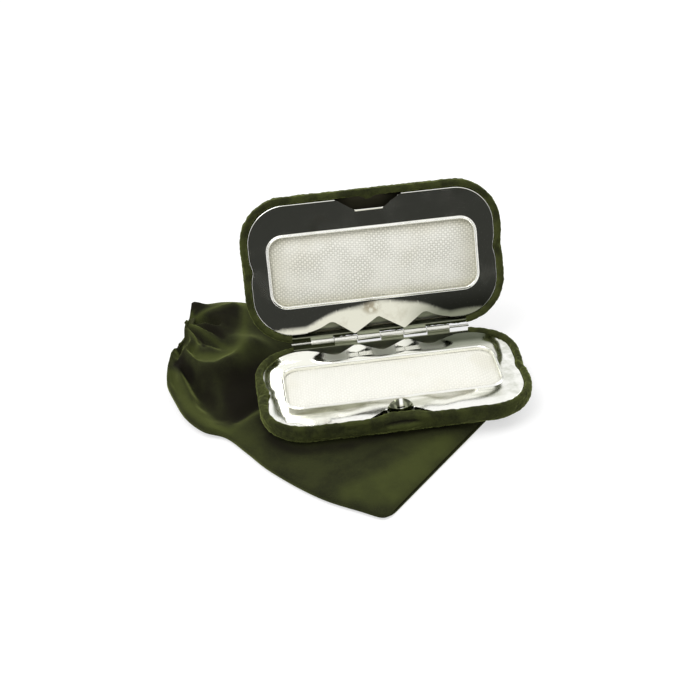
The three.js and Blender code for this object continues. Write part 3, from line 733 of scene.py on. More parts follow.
# The tin has dulled to grey all over but on the knuckles. A band in the round below the rear wall stays
# bright and glossy as a painted highlight, and the front of the lid's tray, seen through the notch,
# is darkened as painted shade
tinned = plate_metal("tinplate", colour(226, 226, 218), 0.16, 0.8, 9, 0.03)
local = tinned.laid("laid")
local_y = tinned.part(local, 0)
local_z = tinned.part(local, 1)
behind_pin = local_y - HINGE_Y
from_pin = behind_pin * behind_pin + local_z * local_z
dulled = from_pin.above((BARREL_RADIUS + 0.02) ** 2, (BARREL_RADIUS + 0.15) ** 2)
round_highlight = local_y.above(26.5, 27.5) * abs(local_z + 6.2).below(0.5, 1.0)
dulled = dulled * (1 - round_highlight)
painted_shade = tinned.part(tinned.place(), 2).above(0.045, 0.055) * (0.0 - local_y).above(10, 12)
dull_tin_and_shade = tinned.between(painted_shade, colour(142, 146, 124), colour(60, 58, 46))
tinned.feed("Base Color", tinned.between(dulled, tinned.tone, dull_tin_and_shade))
tinned.feed("Roughness", tinned.dull + dulled * 0.24)
TINPLATE = tinned.material

for half, place in HALVES.items():
    tray = bmesh.new()
    foot = (FLOOR_RADIUS, TRAY_FLOOR)
    foot_ring = case_ring(tray, *foot)
    wall = rounded_floor(TRAY_INSET, TRAY_FLOOR, FLOOR_RADIUS - TRAY_INSET, 5)
    drawn(tray, foot_ring, foot, [*wall, (TRAY_INSET, -2.8), (TRAY_INSET, TRAY_RIM)])
    closed_in(tray, foot_ring, (CASE_LENGTH - CASE_WIDTH) / 2, 0, (0.2, 0.45, 0.7, 0.9, 1))
    pinch(tray)
    faced(tray, list(tray.faces), NOTHING)

    # The outside of each strap lies on a tangent from the wall to the rolled knuckle
    foot_y = CASE_WIDTH / 2 - TRAY_INSET
    foot_z = TRAY_RIM - STRAP_DROP
    away = math.hypot(HINGE_Y - foot_y, foot_z)
    rise = math.atan2(-foot_z, HINGE_Y - foot_y) - math.asin(BARREL_RADIUS / away)
    strap = math.sqrt(away ** 2 - BARREL_RADIUS ** 2)
    for index in (1, 3, 5):
        rest = set(tray.faces)
        start_x = (index - 3) * KNUCKLE_PITCH + KNUCKLE_GAP / 2
        end_x = start_x + KNUCKLE_PITCH - KNUCKLE_GAP
        middle_x = (start_x + end_x) / 2
        size = (end_x - start_x, strap)
        line = level_sheet(tray, size, (middle_x, strap / 2, 0), STRAP_PARTS)
        bmesh.ops.rotate(tray, cent=NOTHING, matrix=Matrix.Rotation(rise, 3, "X"), verts=line)
        bmesh.ops.translate(tray, vec=(0, foot_y, foot_z), verts=line)
        tip = max(vert.co.z for vert in line)
        roll = [
            edge for edge in edges_of(line)
            if min(edge.verts[0].co.z, edge.verts[1].co.z) > tip - 0.01
        ]
        bmesh.ops.spin(
            tray, geom=roll, cent=(0, HINGE_Y, 0), axis=(1, 0, 0), angle=ROLL_ANGLE,
            steps=ROLL_PARTS, use_merge=False, dvec=NOTHING,
        )
        knuckle = [face for face in tray.faces if face not in rest]
        faced(tray, knuckle, Vector((middle_x, HINGE_Y, 0)))
    local_layer(tray, 1, 2)
    finished(
        tray, f"{half}_tray", place, TINPLATE, half, [f"{half}_shell"],
        thick=SHEET, edge=SHEET_EDGE,
    )


# Velvet covers
# Each tray is covered in olive velvet, glued over the wall, rolled over the rim and turned in.
# It is cut back along the hinge, swells over the thumb bulge, and has a pip inside the lid.
VELVET_RIM = -0.15
RIM_INSET = 2.9
TURN_IN_END = -4.25
BARE_WIDTH = 77
BARE_TOP = -2.65
THUMB_SWELL = (6.9, 2.1, 1.5)
THUMB_HEIGHT = -4.4
THUMB_LIP = (9.5, 1.7, 0.8)
LEFT_LIP = ((-55, -3), 15, 1.3, 0)
PIP_SWELL = (2.6, 1.25, 1.5)
PIP_HEIGHT = -1.4
WALL_ROWS = (-3.8, -3.2, BARE_TOP, -2.1)
TURN_IN_ROWS = (-2.2, -2.9, -3.6, TURN_IN_END)
LUMPS = (0.16, 7)
TUFTS = (0.3, 1.7)
FINE_TUFTS = (0.16, 0.6)
RIM_PLAY = 0.03
COVER_LIGHT = 0.6
BULGE_HIGHLIGHT = 0.4
CREASE_SHADE = 0.55

CASE_VELVET = velvet("case_velvet", colour(30, 32, 17), colour(54, 58, 28), 0.55, 6, 0.14, "painted_light")


def swelling(bm, middle, size, direction):
    """Pushes the cover out over an oval, as over a bulge beneath it."""
    for vert in bm.verts:
        x = (vert.co.x - middle[0]) / size[0]
        z = (vert.co.z - middle[2]) / size[1]
        if x * x + z * z < 1 and abs(vert.co.y - middle[1]) < 1.2:
            vert.co.y += direction * size[2] * (1 - x * x - z * z) ** 0.6


def lipped(bm, middle, half_width, inwards, up):
    """Swells the turned-in edge of a cover inwards and up, over a stretch of its rim."""
    for vert in bm.verts:
        off = off_case_core(vert.co)
        inset = CORNER_RADIUS - off.length
        near = math.hypot(vert.co.x - middle[0], vert.co.y - middle[1]) / half_width
        high = clamped(vert.co.z + 1.7) * math.exp(-(near ** 4))
        vert.co -= off.normalized() * inwards * high * clamped((inset - 0.4) / 1.6)
        vert.co.z += up * high * clamped(inset / 1.2)


def cut_through(bm, point, across, near):
    """Cuts every face that a plane goes through, and keeps both sides."""
    everything = [*bm.verts, *bm.edges, *bm.faces]
    bmesh.ops.bisect_plane(bm, geom=everything, plane_co=point, plane_no=across, dist=near)


def tufted(bm, depth, size):
    """Makes a surface uneven, by a depth, in lumps of a size."""
    bmesh.ops.recalc_face_normals(bm, faces=bm.faces)
    bm.normal_update()
    for vert in bm.verts:
        vert.co += vert.normal * depth * noise.noise(vert.co / size)


for half, place in HALVES.items():
    cover = bmesh.new()
    painted_light = cover.verts.layers.float.new("painted_light")
    start = (FLOOR_RADIUS, -HALF_DEPTH)
    start_ring = case_ring(cover, *start)
    roll = RIM_INSET / 2
    rolled = []
    for step in range(1, 11):
        turn = math.pi * step / 10
        rolled.append((roll * (1 - math.cos(turn)), VELVET_RIM - roll * (1 - math.sin(turn))))
    profile = [
        *rounded_floor(0, -HALF_DEPTH, FLOOR_RADIUS, 8),
        *[(0, height) for height in WALL_ROWS],
        (0, VELVET_RIM - roll),
        *rolled,
        *[(RIM_INSET, height) for height in TURN_IN_ROWS],
    ]
    drawn(cover, start_ring, start, profile)
    tenths = [tenth / 10 for tenth in range(1, 11)]
    closed_in(cover, start_ring, (CASE_LENGTH - CASE_WIDTH) / 2, 0, tenths)

    # Along the hinge the cover stops below the rim
    for side in (-1, 1):
        cut_through(cover, (side * BARE_WIDTH / 2, 0, 0), (1, 0, 0), 0.01)
    bare = []
    for face in cover.faces:
        middle = face.calc_center_median()
        if abs(middle.x) < BARE_WIDTH / 2 and middle.y > CASE_WIDTH / 2 - 4 and middle.z > BARE_TOP:
            bare.append(face)
        elif abs(middle.x) < BARE_WIDTH / 2 and 28 < middle.y < 30 and middle.z > TURN_IN_END - 1:
            bare.append(face)
    bmesh.ops.delete(cover, geom=bare, context="FACES")

    pinch(cover)
    if half == "base":
        swelling(cover, (0, -CASE_WIDTH / 2, THUMB_HEIGHT), THUMB_SWELL, -1)
        lipped(cover, (0, -CASE_WIDTH / 2 + 2), *THUMB_LIP)
        lipped(cover, *LEFT_LIP)
    else:
        swelling(cover, (0, -CASE_WIDTH / 2 + RIM_INSET, PIP_HEIGHT), PIP_SWELL, 1)
        lipped(cover, (0, -CASE_WIDTH / 2 + 2), THUMB_LIP[0], 0, -THUMB_LIP[2])
    bmesh.ops.remove_doubles(cover, verts=cover.verts, dist=0.02)
    tufted(cover, *LUMPS)
    bmesh.ops.subdivide_edges(cover, edges=cover.edges, cuts=1, use_grid_fill=True)
    tufted(cover, *TUFTS)
    tufted(cover, *FINE_TUFTS)

    # The two covers meet when the case is shut, so no tuft stands over the rim
    for vert in cover.verts:
        near = math.hypot(vert.co.x, vert.co.y + CASE_WIDTH / 2 - 2) / THUMB_LIP[0]
        step = THUMB_LIP[2] * math.exp(-(near ** 4))
        level = (step if half == "base" else -step) - RIM_PLAY
        vert.co.z = min(vert.co.z, level)

    # The cover takes a middling level of painted light; over the thumb bulge it is raised to a painted
    # highlight, which also stands for pile rubbed bright by thumbs, and in the crease above it is
    # lowered to a painted shade
    for vert in cover.verts:
        vert[painted_light] = COVER_LIGHT
        if half == "base" and vert.co.y < 1 - CASE_WIDTH / 2:
            x = vert.co.x / THUMB_SWELL[0]
            z = (vert.co.z - THUMB_HEIGHT) / THUMB_SWELL[1]
            crease = hump(z + 0.3 * x * x, 1.25, 0.3) * math.exp(-((x / 1.1) ** 6))
            vert[painted_light] += BULGE_HIGHLIGHT * max(0, 1 - x * x - z * z) ** 0.5 - CREASE_SHADE * crease
    faced(cover, list(cover.faces), NOTHING)
    cover_piece = finished(
        cover, f"{half}_cover", place, CASE_VELVET, half, [f"{half}_velvet"],
        thick=VELVET * 0.9,
    )


# Spring catch and its rivets
# One leaf of bright spring steel, riveted to the floor of the base by its foot. It runs up
# inside the front wall, steps back under the frame and ends in a domed tongue.
LEAF = 0.5
CATCH_WIDTH = 11
CATCH_TOP = 4.4
DOME_RADIUS = 5.5
DOME_DEPTH = 2.4
TONGUE_Y = -24.6
DOME_HEIGHT = CATCH_TOP - DOME_RADIUS
LEAF_Y = -29.5
FOOT_Z = -6.55
FOOT_END = -19.05
BEND_Y = -27.25
BEND_Z = -4.3
STEP_LOW = -2.65
STEP_HIGH = -0.55
THUMB_BULGE = (5, 1.2, 1.3)
BULGE_HEIGHT = -4.4
RIVETS = {"left": (-3, -21.55), "right": (3, -21.55)}
RIVET_SHANK = 0.8
RIVET_HEAD = 1.5
RIVET_ROUND = [
    (RIVET_SHANK, -6.02), (RIVET_HEAD, -6.02), (RIVET_HEAD, -5.75), (1.1, -5.5), (0.5, -5.42),
]
FOOT_PARTS = 11
BEND_PARTS = 8
LEAF_PARTS = 4
DOME_RINGS = 12
DOME_SPOKES = 48
TOOTH_PITCH = 20.8

WIRE = plate_metal("wire", colour(190, 190, 184), 0.24, 0.5, 4, 0.01).material

# The catch's tongue and step are drawn darker, mottled grey-green, and a bright strip down the middle
# of the tongue is a painted highlight. Where a mark begins and where it is full are places in the open
# model, in metres.
polished = plate_metal("bright_plate", colour(252, 252, 246), 0.035, 0.9, 12, 0.012, 0.012)
spot = polished.place()
spot_x = polished.part(spot, 0)
spot_y = polished.part(spot, 1)
spot_z = polished.part(spot, 2)
in_base = spot_z.below(0.0150, 0.0154)
on_catch = (0.0 - spot_y).above(0.0237, 0.0241) * abs(spot_x).below(0.0060, 0.0062)
on_catch = on_catch * spot_z.above(0.0102, 0.0106) * spot_z.below(0.0190, 0.0200)
mottled = polished.speckle(spot, 2.6, 1.0, 0.5).above(0.42, 0.58)
catch_tone_and_highlight = polished.between(mottled, colour(76, 78, 64), colour(142, 145, 122))
painted_highlight_strip = abs(spot_x - 0.0002).below(0.0004, 0.0010) * spot_z.above(0.0132, 0.0140)
catch_tone_and_highlight = polished.between(painted_highlight_strip, catch_tone_and_highlight, colour(255, 255, 250))

# Between the teeth the base's frame is darkened as painted shade, and made rougher
between_teeth_shade = (spot_x * (2000 * math.pi / TOOTH_PITCH) + math.pi / 2).sine().above(-0.5, 0.6) * in_base
between_teeth_shade = between_teeth_shade * spot_y.above(0.0168, 0.0196) * abs(spot_x).below(0.026, 0.032)
plain = polished.between(between_teeth_shade * 0.5, polished.tone, colour(122, 130, 108))

# In front of its window the base's frame is streaked, and a beige band beside the window is a painted
# reflection
drawn_out = polished.add("ShaderNodeVectorMath", {"operation": "MULTIPLY"}, {0: spot, 1: (0.2, 1, 1)})
streaks_and_reflection = polished.speckle(drawn_out, 4, 2.0, 0.5).above(0.42, 0.62) * 0.6
streaks_and_reflection = streaks_and_reflection * abs(spot_y + 0.0195).below(0.0022, 0.0048)
pad_reflection_band = abs(spot_y + 0.0176).below(0.0014, 0.0026)
streaks_and_reflection = (streaks_and_reflection + pad_reflection_band * spot_x.below(-0.016, -0.002) * 0.7).held()
streaks_and_reflection = streaks_and_reflection * abs(spot_x).below(0.040, 0.046) * in_base
plain = polished.between(streaks_and_reflection, plain, colour(186, 187, 168))
# Below the lid's window the frame is drawn brownish in patches
brown_x = (spot_x + 0.003) / 0.0042
brown_z = (spot_z - 0.0262) / 0.0030
in_lid = spot_y.above(0.020, 0.024)
browned = (brown_x * brown_x + brown_z * brown_z).below(0.0, 1.6) * in_lid
browned = browned * polished.speckle(spot, 3, 2.0, 0.5).above(0.3, 0.6)
plain = polished.between(browned * 0.7, plain, colour(158, 144, 118))
# Painted reflection: towards its right and its lower end the lid's frame is darkened grey-green
dimmed_reflection = spot_x.above(0.006, 0.028) * in_lid * spot_z.below(0.019, 0.034)
plain = polished.between(dimmed_reflection * 0.85, plain, colour(116, 122, 104))
right_end = spot_x.above(0.036, 0.050) * in_base
right_end = right_end * polished.speckle(spot, 5, 2.0, 0.5).above(0.35, 0.7)
plain = polished.between(right_end * 0.7, plain, colour(196, 199, 184))
polished.feed("Base Color", polished.between(on_catch, plain, catch_tone_and_highlight))

# The lid's frame is hazy in patches, as wiped with a greasy thumb
haze = polished.speckle(spot, 13, 2.0, 0.5).above(0.42, 0.72) * spot_z.above(0.026, 0.030) * 0.05
hazes = polished.dull + haze + between_teeth_shade * 0.3
polished.feed("Roughness", hazes + in_base * (1 - on_catch) * 0.045)
BRIGHT = polished.material

spring = bmesh.new()
foot_middle = (0, (FOOT_END + BEND_Y) / 2, FOOT_Z)
level_sheet(spring, (CATCH_WIDTH, FOOT_END - BEND_Y), foot_middle, FOOT_PARTS)
line = [edge for edge in spring.edges if max(vert.co.y for vert in edge.verts) < BEND_Y + 0.01]
bend = bmesh.ops.spin(
    spring, geom=line, cent=(0, BEND_Y, BEND_Z), axis=(-1, 0, 0), angle=math.pi / 2,
    steps=BEND_PARTS, use_merge=False, dvec=NOTHING,
)["geom_last"]
line = [part for part in bend if isinstance(part, bmesh.types.BMEdge)]
path = [(LEAF_Y, STEP_LOW), (TONGUE_Y + LEAF, STEP_HIGH), (TONGUE_Y + LEAF, DOME_HEIGHT + LEAF)]
at = Vector((0, LEAF_Y, BEND_Z))
for y, z in path:
    to = Vector((0, y, z))
    for part in range(LEAF_PARTS):
        verts, line = extruded(spring, line)
        bmesh.ops.translate(spring, vec=(to - at) / LEAF_PARTS, verts=verts)
    at = to
for vert in spring.verts:
    x = vert.co.x / THUMB_BULGE[0]
    z = (vert.co.z - BULGE_HEIGHT) / THUMB_BULGE[1]
    if x * x + z * z < 1:
        vert.co.y -= THUMB_BULGE[2] * (1 - x * x - z * z) ** 0.5
set_down(spring)

# The domed tongue is pressed as a shallow cap, and stands on the step of the leaf
strip = set(spring.faces)
cap_radius = (DOME_RADIUS ** 2 + DOME_DEPTH ** 2) / (2 * DOME_DEPTH)
reach = math.asin(DOME_RADIUS / cap_radius)
arc = [spring.verts.new((0, -cap_radius, 0))]
for step in range(1, DOME_RINGS + 1):
    turn = reach * step / DOME_RINGS
    arc.append(spring.verts.new((cap_radius * math.sin(turn), -cap_radius * math.cos(turn), 0)))
arc_edges = [spring.edges.new(pair) for pair in zip(arc, arc[1:])]
bmesh.ops.spin(
    spring, geom=[*arc, *arc_edges], cent=NOTHING, axis=(0, 1, 0), angle=2 * math.pi,
    steps=DOME_SPOKES, use_merge=True, dvec=NOTHING,
)
dome_verts = list({vert for face in spring.faces if face not in strip for vert in face.verts})
bmesh.ops.remove_doubles(spring, verts=dome_verts, dist=0.001)
dome_faces = [face for face in spring.faces if face not in strip]
dome_verts = list({vert for face in dome_faces for vert in face.verts})
bmesh.ops.translate(
    spring, vec=(0, TONGUE_Y + cap_radius - DOME_DEPTH, DOME_HEIGHT), verts=dome_verts,
)
dome_geom = [*dome_verts, *{edge for face in dome_faces for edge in face.edges}, *dome_faces]
step_slope = Vector((0, STEP_HIGH - STEP_LOW, LEAF_Y - TONGUE_Y - LEAF)).normalized()
bmesh.ops.bisect_plane(
    spring, geom=dome_geom, plane_co=(0, LEAF_Y, STEP_LOW + 0.2), plane_no=step_slope, dist=0.001,
    clear_outer=True,
)
dome_faces = [face for face in spring.faces if face not in strip]
faced(spring, dome_faces, Vector((0, TONGUE_Y + 6, DOME_HEIGHT)))
finished(
    spring, "catch_leaf", BASE_PLACE, BRIGHT, "catch", ["catch_spring"],
    thick=LEAF, edge=0.1,
)

for side, (x, y) in RIVETS.items():
    rivet = bmesh.new()
    shank = bmesh.ops.create_circle(rivet, segments=20, radius=RIVET_SHANK)["verts"]
    bmesh.ops.translate(rivet, vec=(x, y, TRAY_FLOOR), verts=shank)
    ring = list(rivet.edges)
    for radius, height in RIVET_ROUND:
        verts, ring = extruded(rivet, ring)
        for vert in verts:
            level = Vector((vert.co.x - x, vert.co.y - y, 0)).normalized() * radius
            vert.co = Vector((x, y, height)) + level
    bmesh.ops.holes_fill(rivet, edges=rivet.edges, sides=0)
    faced(rivet, list(rivet.faces), Vector((x, y, -6.5)))
    finished(
        rivet, f"catch_{side}_rivet", BASE_PLACE, WIRE, "base", [f"catch_rivet_{side}"],
        edge=0.05,
    )


# Pads
# A wad of glass wool fills each tray. A woven glass cloth is drawn over it, and both are
# held behind the window of the frame, through which the cloth stands crowned.
WINDOW_LENGTH = 88.8
WINDOW_WIDTH = 29.8
WINDOW_MIDDLE = 0.5
PAD_EDGE = -2.7
PAD_CROWN = 2.4
TUCKED = 1.8
WINDOW_CORNER = 6.0
WAD_DEPTHS = (-4.4, -5.4, -6.4, -6.8)
WAD_TUCKED = 1.2
WAD_PLAY = 0.3
GLASS_CLOTH_THICKNESS = 0.8
SLACK = 0.12
SLACK_SIZE = 9
WARP_PITCH = 1.04
WEFT_PITCH = 0.97

glass = Finish("glass_cloth", Roughness=0.75, Specular_IOR_Level=0.3)
flat_place = glass.laid("laid")
flat_x = glass.part(flat_place, 0)
flat_y = glass.part(flat_place, 1)
pulled = glass.speckle(glass.place(), 7, 2.0, 0.6) * 1.6
across = (flat_x - flat_y * 0.07 + pulled) * (math.pi / WARP_PITCH)
along = (flat_y + flat_x * 0.11 + flat_x * flat_x * 0.0015 - pulled) * (math.pi / WEFT_PITCH)
warp = abs(across.sine())
weft = abs(along.sine())
checks = (across.sine() * along.sine()).above(-0.15, 0.15)
threads = glass.between(checks, (1, 1, 1, 1), (0, 0, 0, 1))
over = glass.part(threads, 0)
height = (warp ** 0.6) * over + (weft ** 0.6) * (1 - over)
yellowed = glass.speckle(glass.place(), 22, 2.0, 0.5).above(0.5, 0.72)
cream = glass.between(yellowed * 0.5, colour(251, 250, 241), colour(242, 239, 224))
gaps = (1 - warp * weft).above(0.6, 1.0)
under = 1 - over
ends = (abs(flat_x) / (WINDOW_LENGTH / 2)).above(0.72, 1.02)
edges = (abs(flat_y - WINDOW_MIDDLE) / (WINDOW_WIDTH / 2)).above(0.66, 1.02)

# The cloth darkens towards the ends and sides of its window as painted shade under the bead, more in
# the lid than in the base, and the lid's weave is drawn with more contrast
on_lid = glass.part(glass.place(), 2).above(0.016, 0.022)
loose = glass.speckle(glass.place(), 14, 1.0, 0.5).above(0.36, 0.62)
painted_shade = glass.between((ends + edges) * (0.1 + on_lid * 0.4), cream, colour(206, 202, 178))
shown = (gaps * 0.36 + under * 0.3) * (0.22 + on_lid * (0.28 + loose * 0.4))
woven = glass.between(shown, painted_shade, colour(134, 132, 110))
glass.feed("Base Color", woven)
glass.feed("Normal", glass.relief(height, 0.2))
GLASS_CLOTH = glass.material

wool = Finish("glass_wool", Roughness=1.0, Specular_IOR_Level=0.1)
fibres = wool.speckle(wool.place(), 0.4, 6.0, 0.7)
clumps = wool.speckle(wool.place(), 5, 3.0, 0.6)
wool.feed("Base Color", wool.between(clumps, colour(214, 208, 188), colour(238, 234, 220)))
wool.feed("Normal", wool.relief(fibres, 0.3, wool.relief(clumps, 1.0)))
GLASS_WOOL = wool.material


def window_ring(bm, outset, height):
    """The window of the frame as a ring of edges, drawn out by an outset."""
    half_x = WINDOW_LENGTH / 2 + outset
    half_y = WINDOW_WIDTH / 2 + outset
    middle = (0, WINDOW_MIDDLE, height)
    return rounded_ring(bm, half_x, half_y, middle, WINDOW_CORNER + outset, 10, 47, 11)


def crowned(share):
    """Height of a pad above its edge, at a share of the way in."""
    return PAD_CROWN * (1 - (1 - share) ** 2.6)


for half, place in HALVES.items():
    wad = bmesh.new()
    ring = window_ring(wad, WAD_TUCKED, PAD_EDGE - GLASS_CLOTH_THICKNESS - WAD_PLAY)
    tenths = [tenth / 10 for tenth in range(1, 11)]
    closed_in(wad, ring, (WINDOW_LENGTH - WINDOW_WIDTH) / 2, WINDOW_MIDDLE, tenths, crowned)
    for height in WAD_DEPTHS:
        verts, ring = extruded(wad, ring)
        for vert in verts:
            vert.co.z = height
    bmesh.ops.holes_fill(wad, edges=ring, sides=0)
    faced(wad, list(wad.faces), Vector((0, 0, -5)))
    wad_piece = finished(
        wad, f"{half}_wad", place, GLASS_WOOL, half, [f"{half}_glass_wool"],
    )

    face_cloth = bmesh.new()
    edge_ring = window_ring(face_cloth, TUCKED, PAD_EDGE)
    verts, inner = extruded(face_cloth, edge_ring)
    for vert in verts:
        vert.co.x *= WINDOW_LENGTH / (WINDOW_LENGTH + 2 * TUCKED)
        narrowed = (vert.co.y - WINDOW_MIDDLE) * WINDOW_WIDTH / (WINDOW_WIDTH + 2 * TUCKED)
        vert.co.y = WINDOW_MIDDLE + narrowed
    steps = [step / 16 for step in range(1, 17)]
    closed_in(face_cloth, inner, (WINDOW_LENGTH - WINDOW_WIDTH) / 2, WINDOW_MIDDLE, steps, crowned)
    for vert in face_cloth.verts:
        free = clamped((vert.co.z - PAD_EDGE) / 0.8)
        vert.co.z += SLACK * noise.noise(vert.co / SLACK_SIZE) * free
    faced(face_cloth, list(face_cloth.faces), Vector((0, 0, -60)))
    local_layer(face_cloth, 0, 1)
    cloth_piece = finished(
        face_cloth, f"{half}_pad_cloth", place, GLASS_CLOTH, half, [f"{half}_glass_cloth"],
        thick=GLASS_CLOTH_THICKNESS, round_off=1,
    )


# Retainer frames
# A frame is one stamping of bright sheet, the same in base and lid: its rim is turned down,
# its window beaded, the front notched for the catch, the rear cut in teeth that curl up.
PLATE_TOP = -1.2
FRAME_SHEET = 0.5
FRAME_INSET = 3.1
EDGE_ROUND = 0.45
LIP_END = -4.1
BEAD_WIDTH = 1.2
WINDOW_LIP_END = -2.4
NOTCH_Y = -23.12
CURL_END = 30.6
EDGE_PART = 1.6
COLUMN_WIDTH = 2
FRAME_X = CASE_LENGTH / 2 - FRAME_INSET - EDGE_ROUND
FRAME_Y = CASE_WIDTH / 2 - FRAME_INSET - EDGE_ROUND
FRAME_CORNER = CORNER_RADIUS - FRAME_INSET - EDGE_ROUND

# The right half of its outline from behind to the front, and how each corner is rounded
FRAME_OUTLINE = [
    (0, 24), (10.95, CURL_END), (20.4, 24), (28.5, FRAME_Y), (FRAME_X, FRAME_Y),
    (FRAME_X, -FRAME_Y), (13.5, -FRAME_Y), (6, NOTCH_Y),
]
ROUNDED = [
    (FRAME_CORNER, 16, FRAME_OUTLINE[4:6]),
    (5, 6, FRAME_OUTLINE[3:4]),
    (1.8, 4, FRAME_OUTLINE[2:3]),
    (0.5, 3, FRAME_OUTLINE[1:2]),
    (0.8, 3, FRAME_OUTLINE[:1]),
    (0.8, 3, FRAME_OUTLINE[6:]),
]


# The lid's frame curls up behind, sooner in the middle, and its front is bowed forward
LID_CURL_START = 17
LID_CURL_LATEST = 24.5
LID_CURL_DELAY = 0.0075
LID_CURL_RISE = 1.25
LID_BOW_START = 5
LID_BOW = 0.75
LID_DENT = 0.35

# The base's teeth curl up. Its plate has fallen a little round its edge and at its left end,
# and behind, where it has fallen less at both sides.
BASE_CURL_START = 21
BASE_CURL_RISE = 0.9
EDGE_FALL = 0.28
EDGE_FALL_WIDTH = 9
END_FALL = 0.075
END_FALL_START = 46
DROP_START = 16.5
DROP_WIDTH = 10
DROP_BEHIND = 1.35
DROP_LESS_ASIDE = 0.9


def worn_lid(vert):
    """Bends a point of the lid's frame as use has bent it."""
    start = min(LID_CURL_LATEST, LID_CURL_START + LID_CURL_DELAY * vert.co.x ** 2)
    curl = max(0, vert.co.y - start) / (CURL_END - LID_CURL_START)
    bow = max(0, LID_BOW_START - vert.co.y) / (LID_BOW_START + FRAME_Y + EDGE_ROUND)
    vert.co.z += LID_CURL_RISE * curl ** 1.3 + LID_BOW * bow * bow
    vert.co.z += 0.1 * noise.noise(vert.co / 13)
    if 15.3 < vert.co.y < 16.4:
        vert.co.z += LID_DENT * hump(vert.co.x, 0, 0.9)


def worn_base(vert):
    """Bends a point of the base's frame as use has bent it."""
    curl = max(0, vert.co.y - BASE_CURL_START) / (CURL_END - BASE_CURL_START)
    off_x = max(0, abs(vert.co.x) - FRAME_X + FRAME_CORNER)
    off_y = max(0, -vert.co.y - FRAME_Y + FRAME_CORNER)
    inside = FRAME_CORNER - math.hypot(off_x, off_y)
    fall = EDGE_FALL * max(0, 1 - inside / EDGE_FALL_WIDTH) ** 2
    if vert.co.x <= -30:
        fall *= 0.4
    fall += END_FALL * max(0, -vert.co.x - END_FALL_START)
    behind = clamped((vert.co.y - DROP_START) / DROP_WIDTH)
    aside = clamped((abs(vert.co.x) - 22) / 14)
    drop = DROP_BEHIND - DROP_LESS_ASIDE * smooth(aside)
    vert.co.z += BASE_CURL_RISE * curl * curl - drop * smooth(behind)
    vert.co.z += 0.14 * noise.noise(vert.co / 10) - fall


WORN = {"base": worn_base, "lid": worn_lid}


def out_of_window(point):
    """The level direction that points away from the window at a point of its ring."""
    half_x = WINDOW_LENGTH / 2 - WINDOW_CORNER
    half_y = WINDOW_WIDTH / 2 - WINDOW_CORNER
    return off_core(point, half_x, half_y, WINDOW_MIDDLE).normalized()


def into_notch(_point):
    """The level direction that points into the notch from its floor."""
    return Vector((0, -1, 0))


def turned(bm, ring, outwards, start, profile):
    """Turns an edge of a plate over through a profile of outsets and heights."""
    outset, height = start
    for next_outset, next_height in profile:
        verts, ring = extruded(bm, ring)
        for vert in verts:
            vert.co += outwards(vert.co) * (next_outset - outset)
            vert.co.z += next_height - height
        outset, height = next_outset, next_height


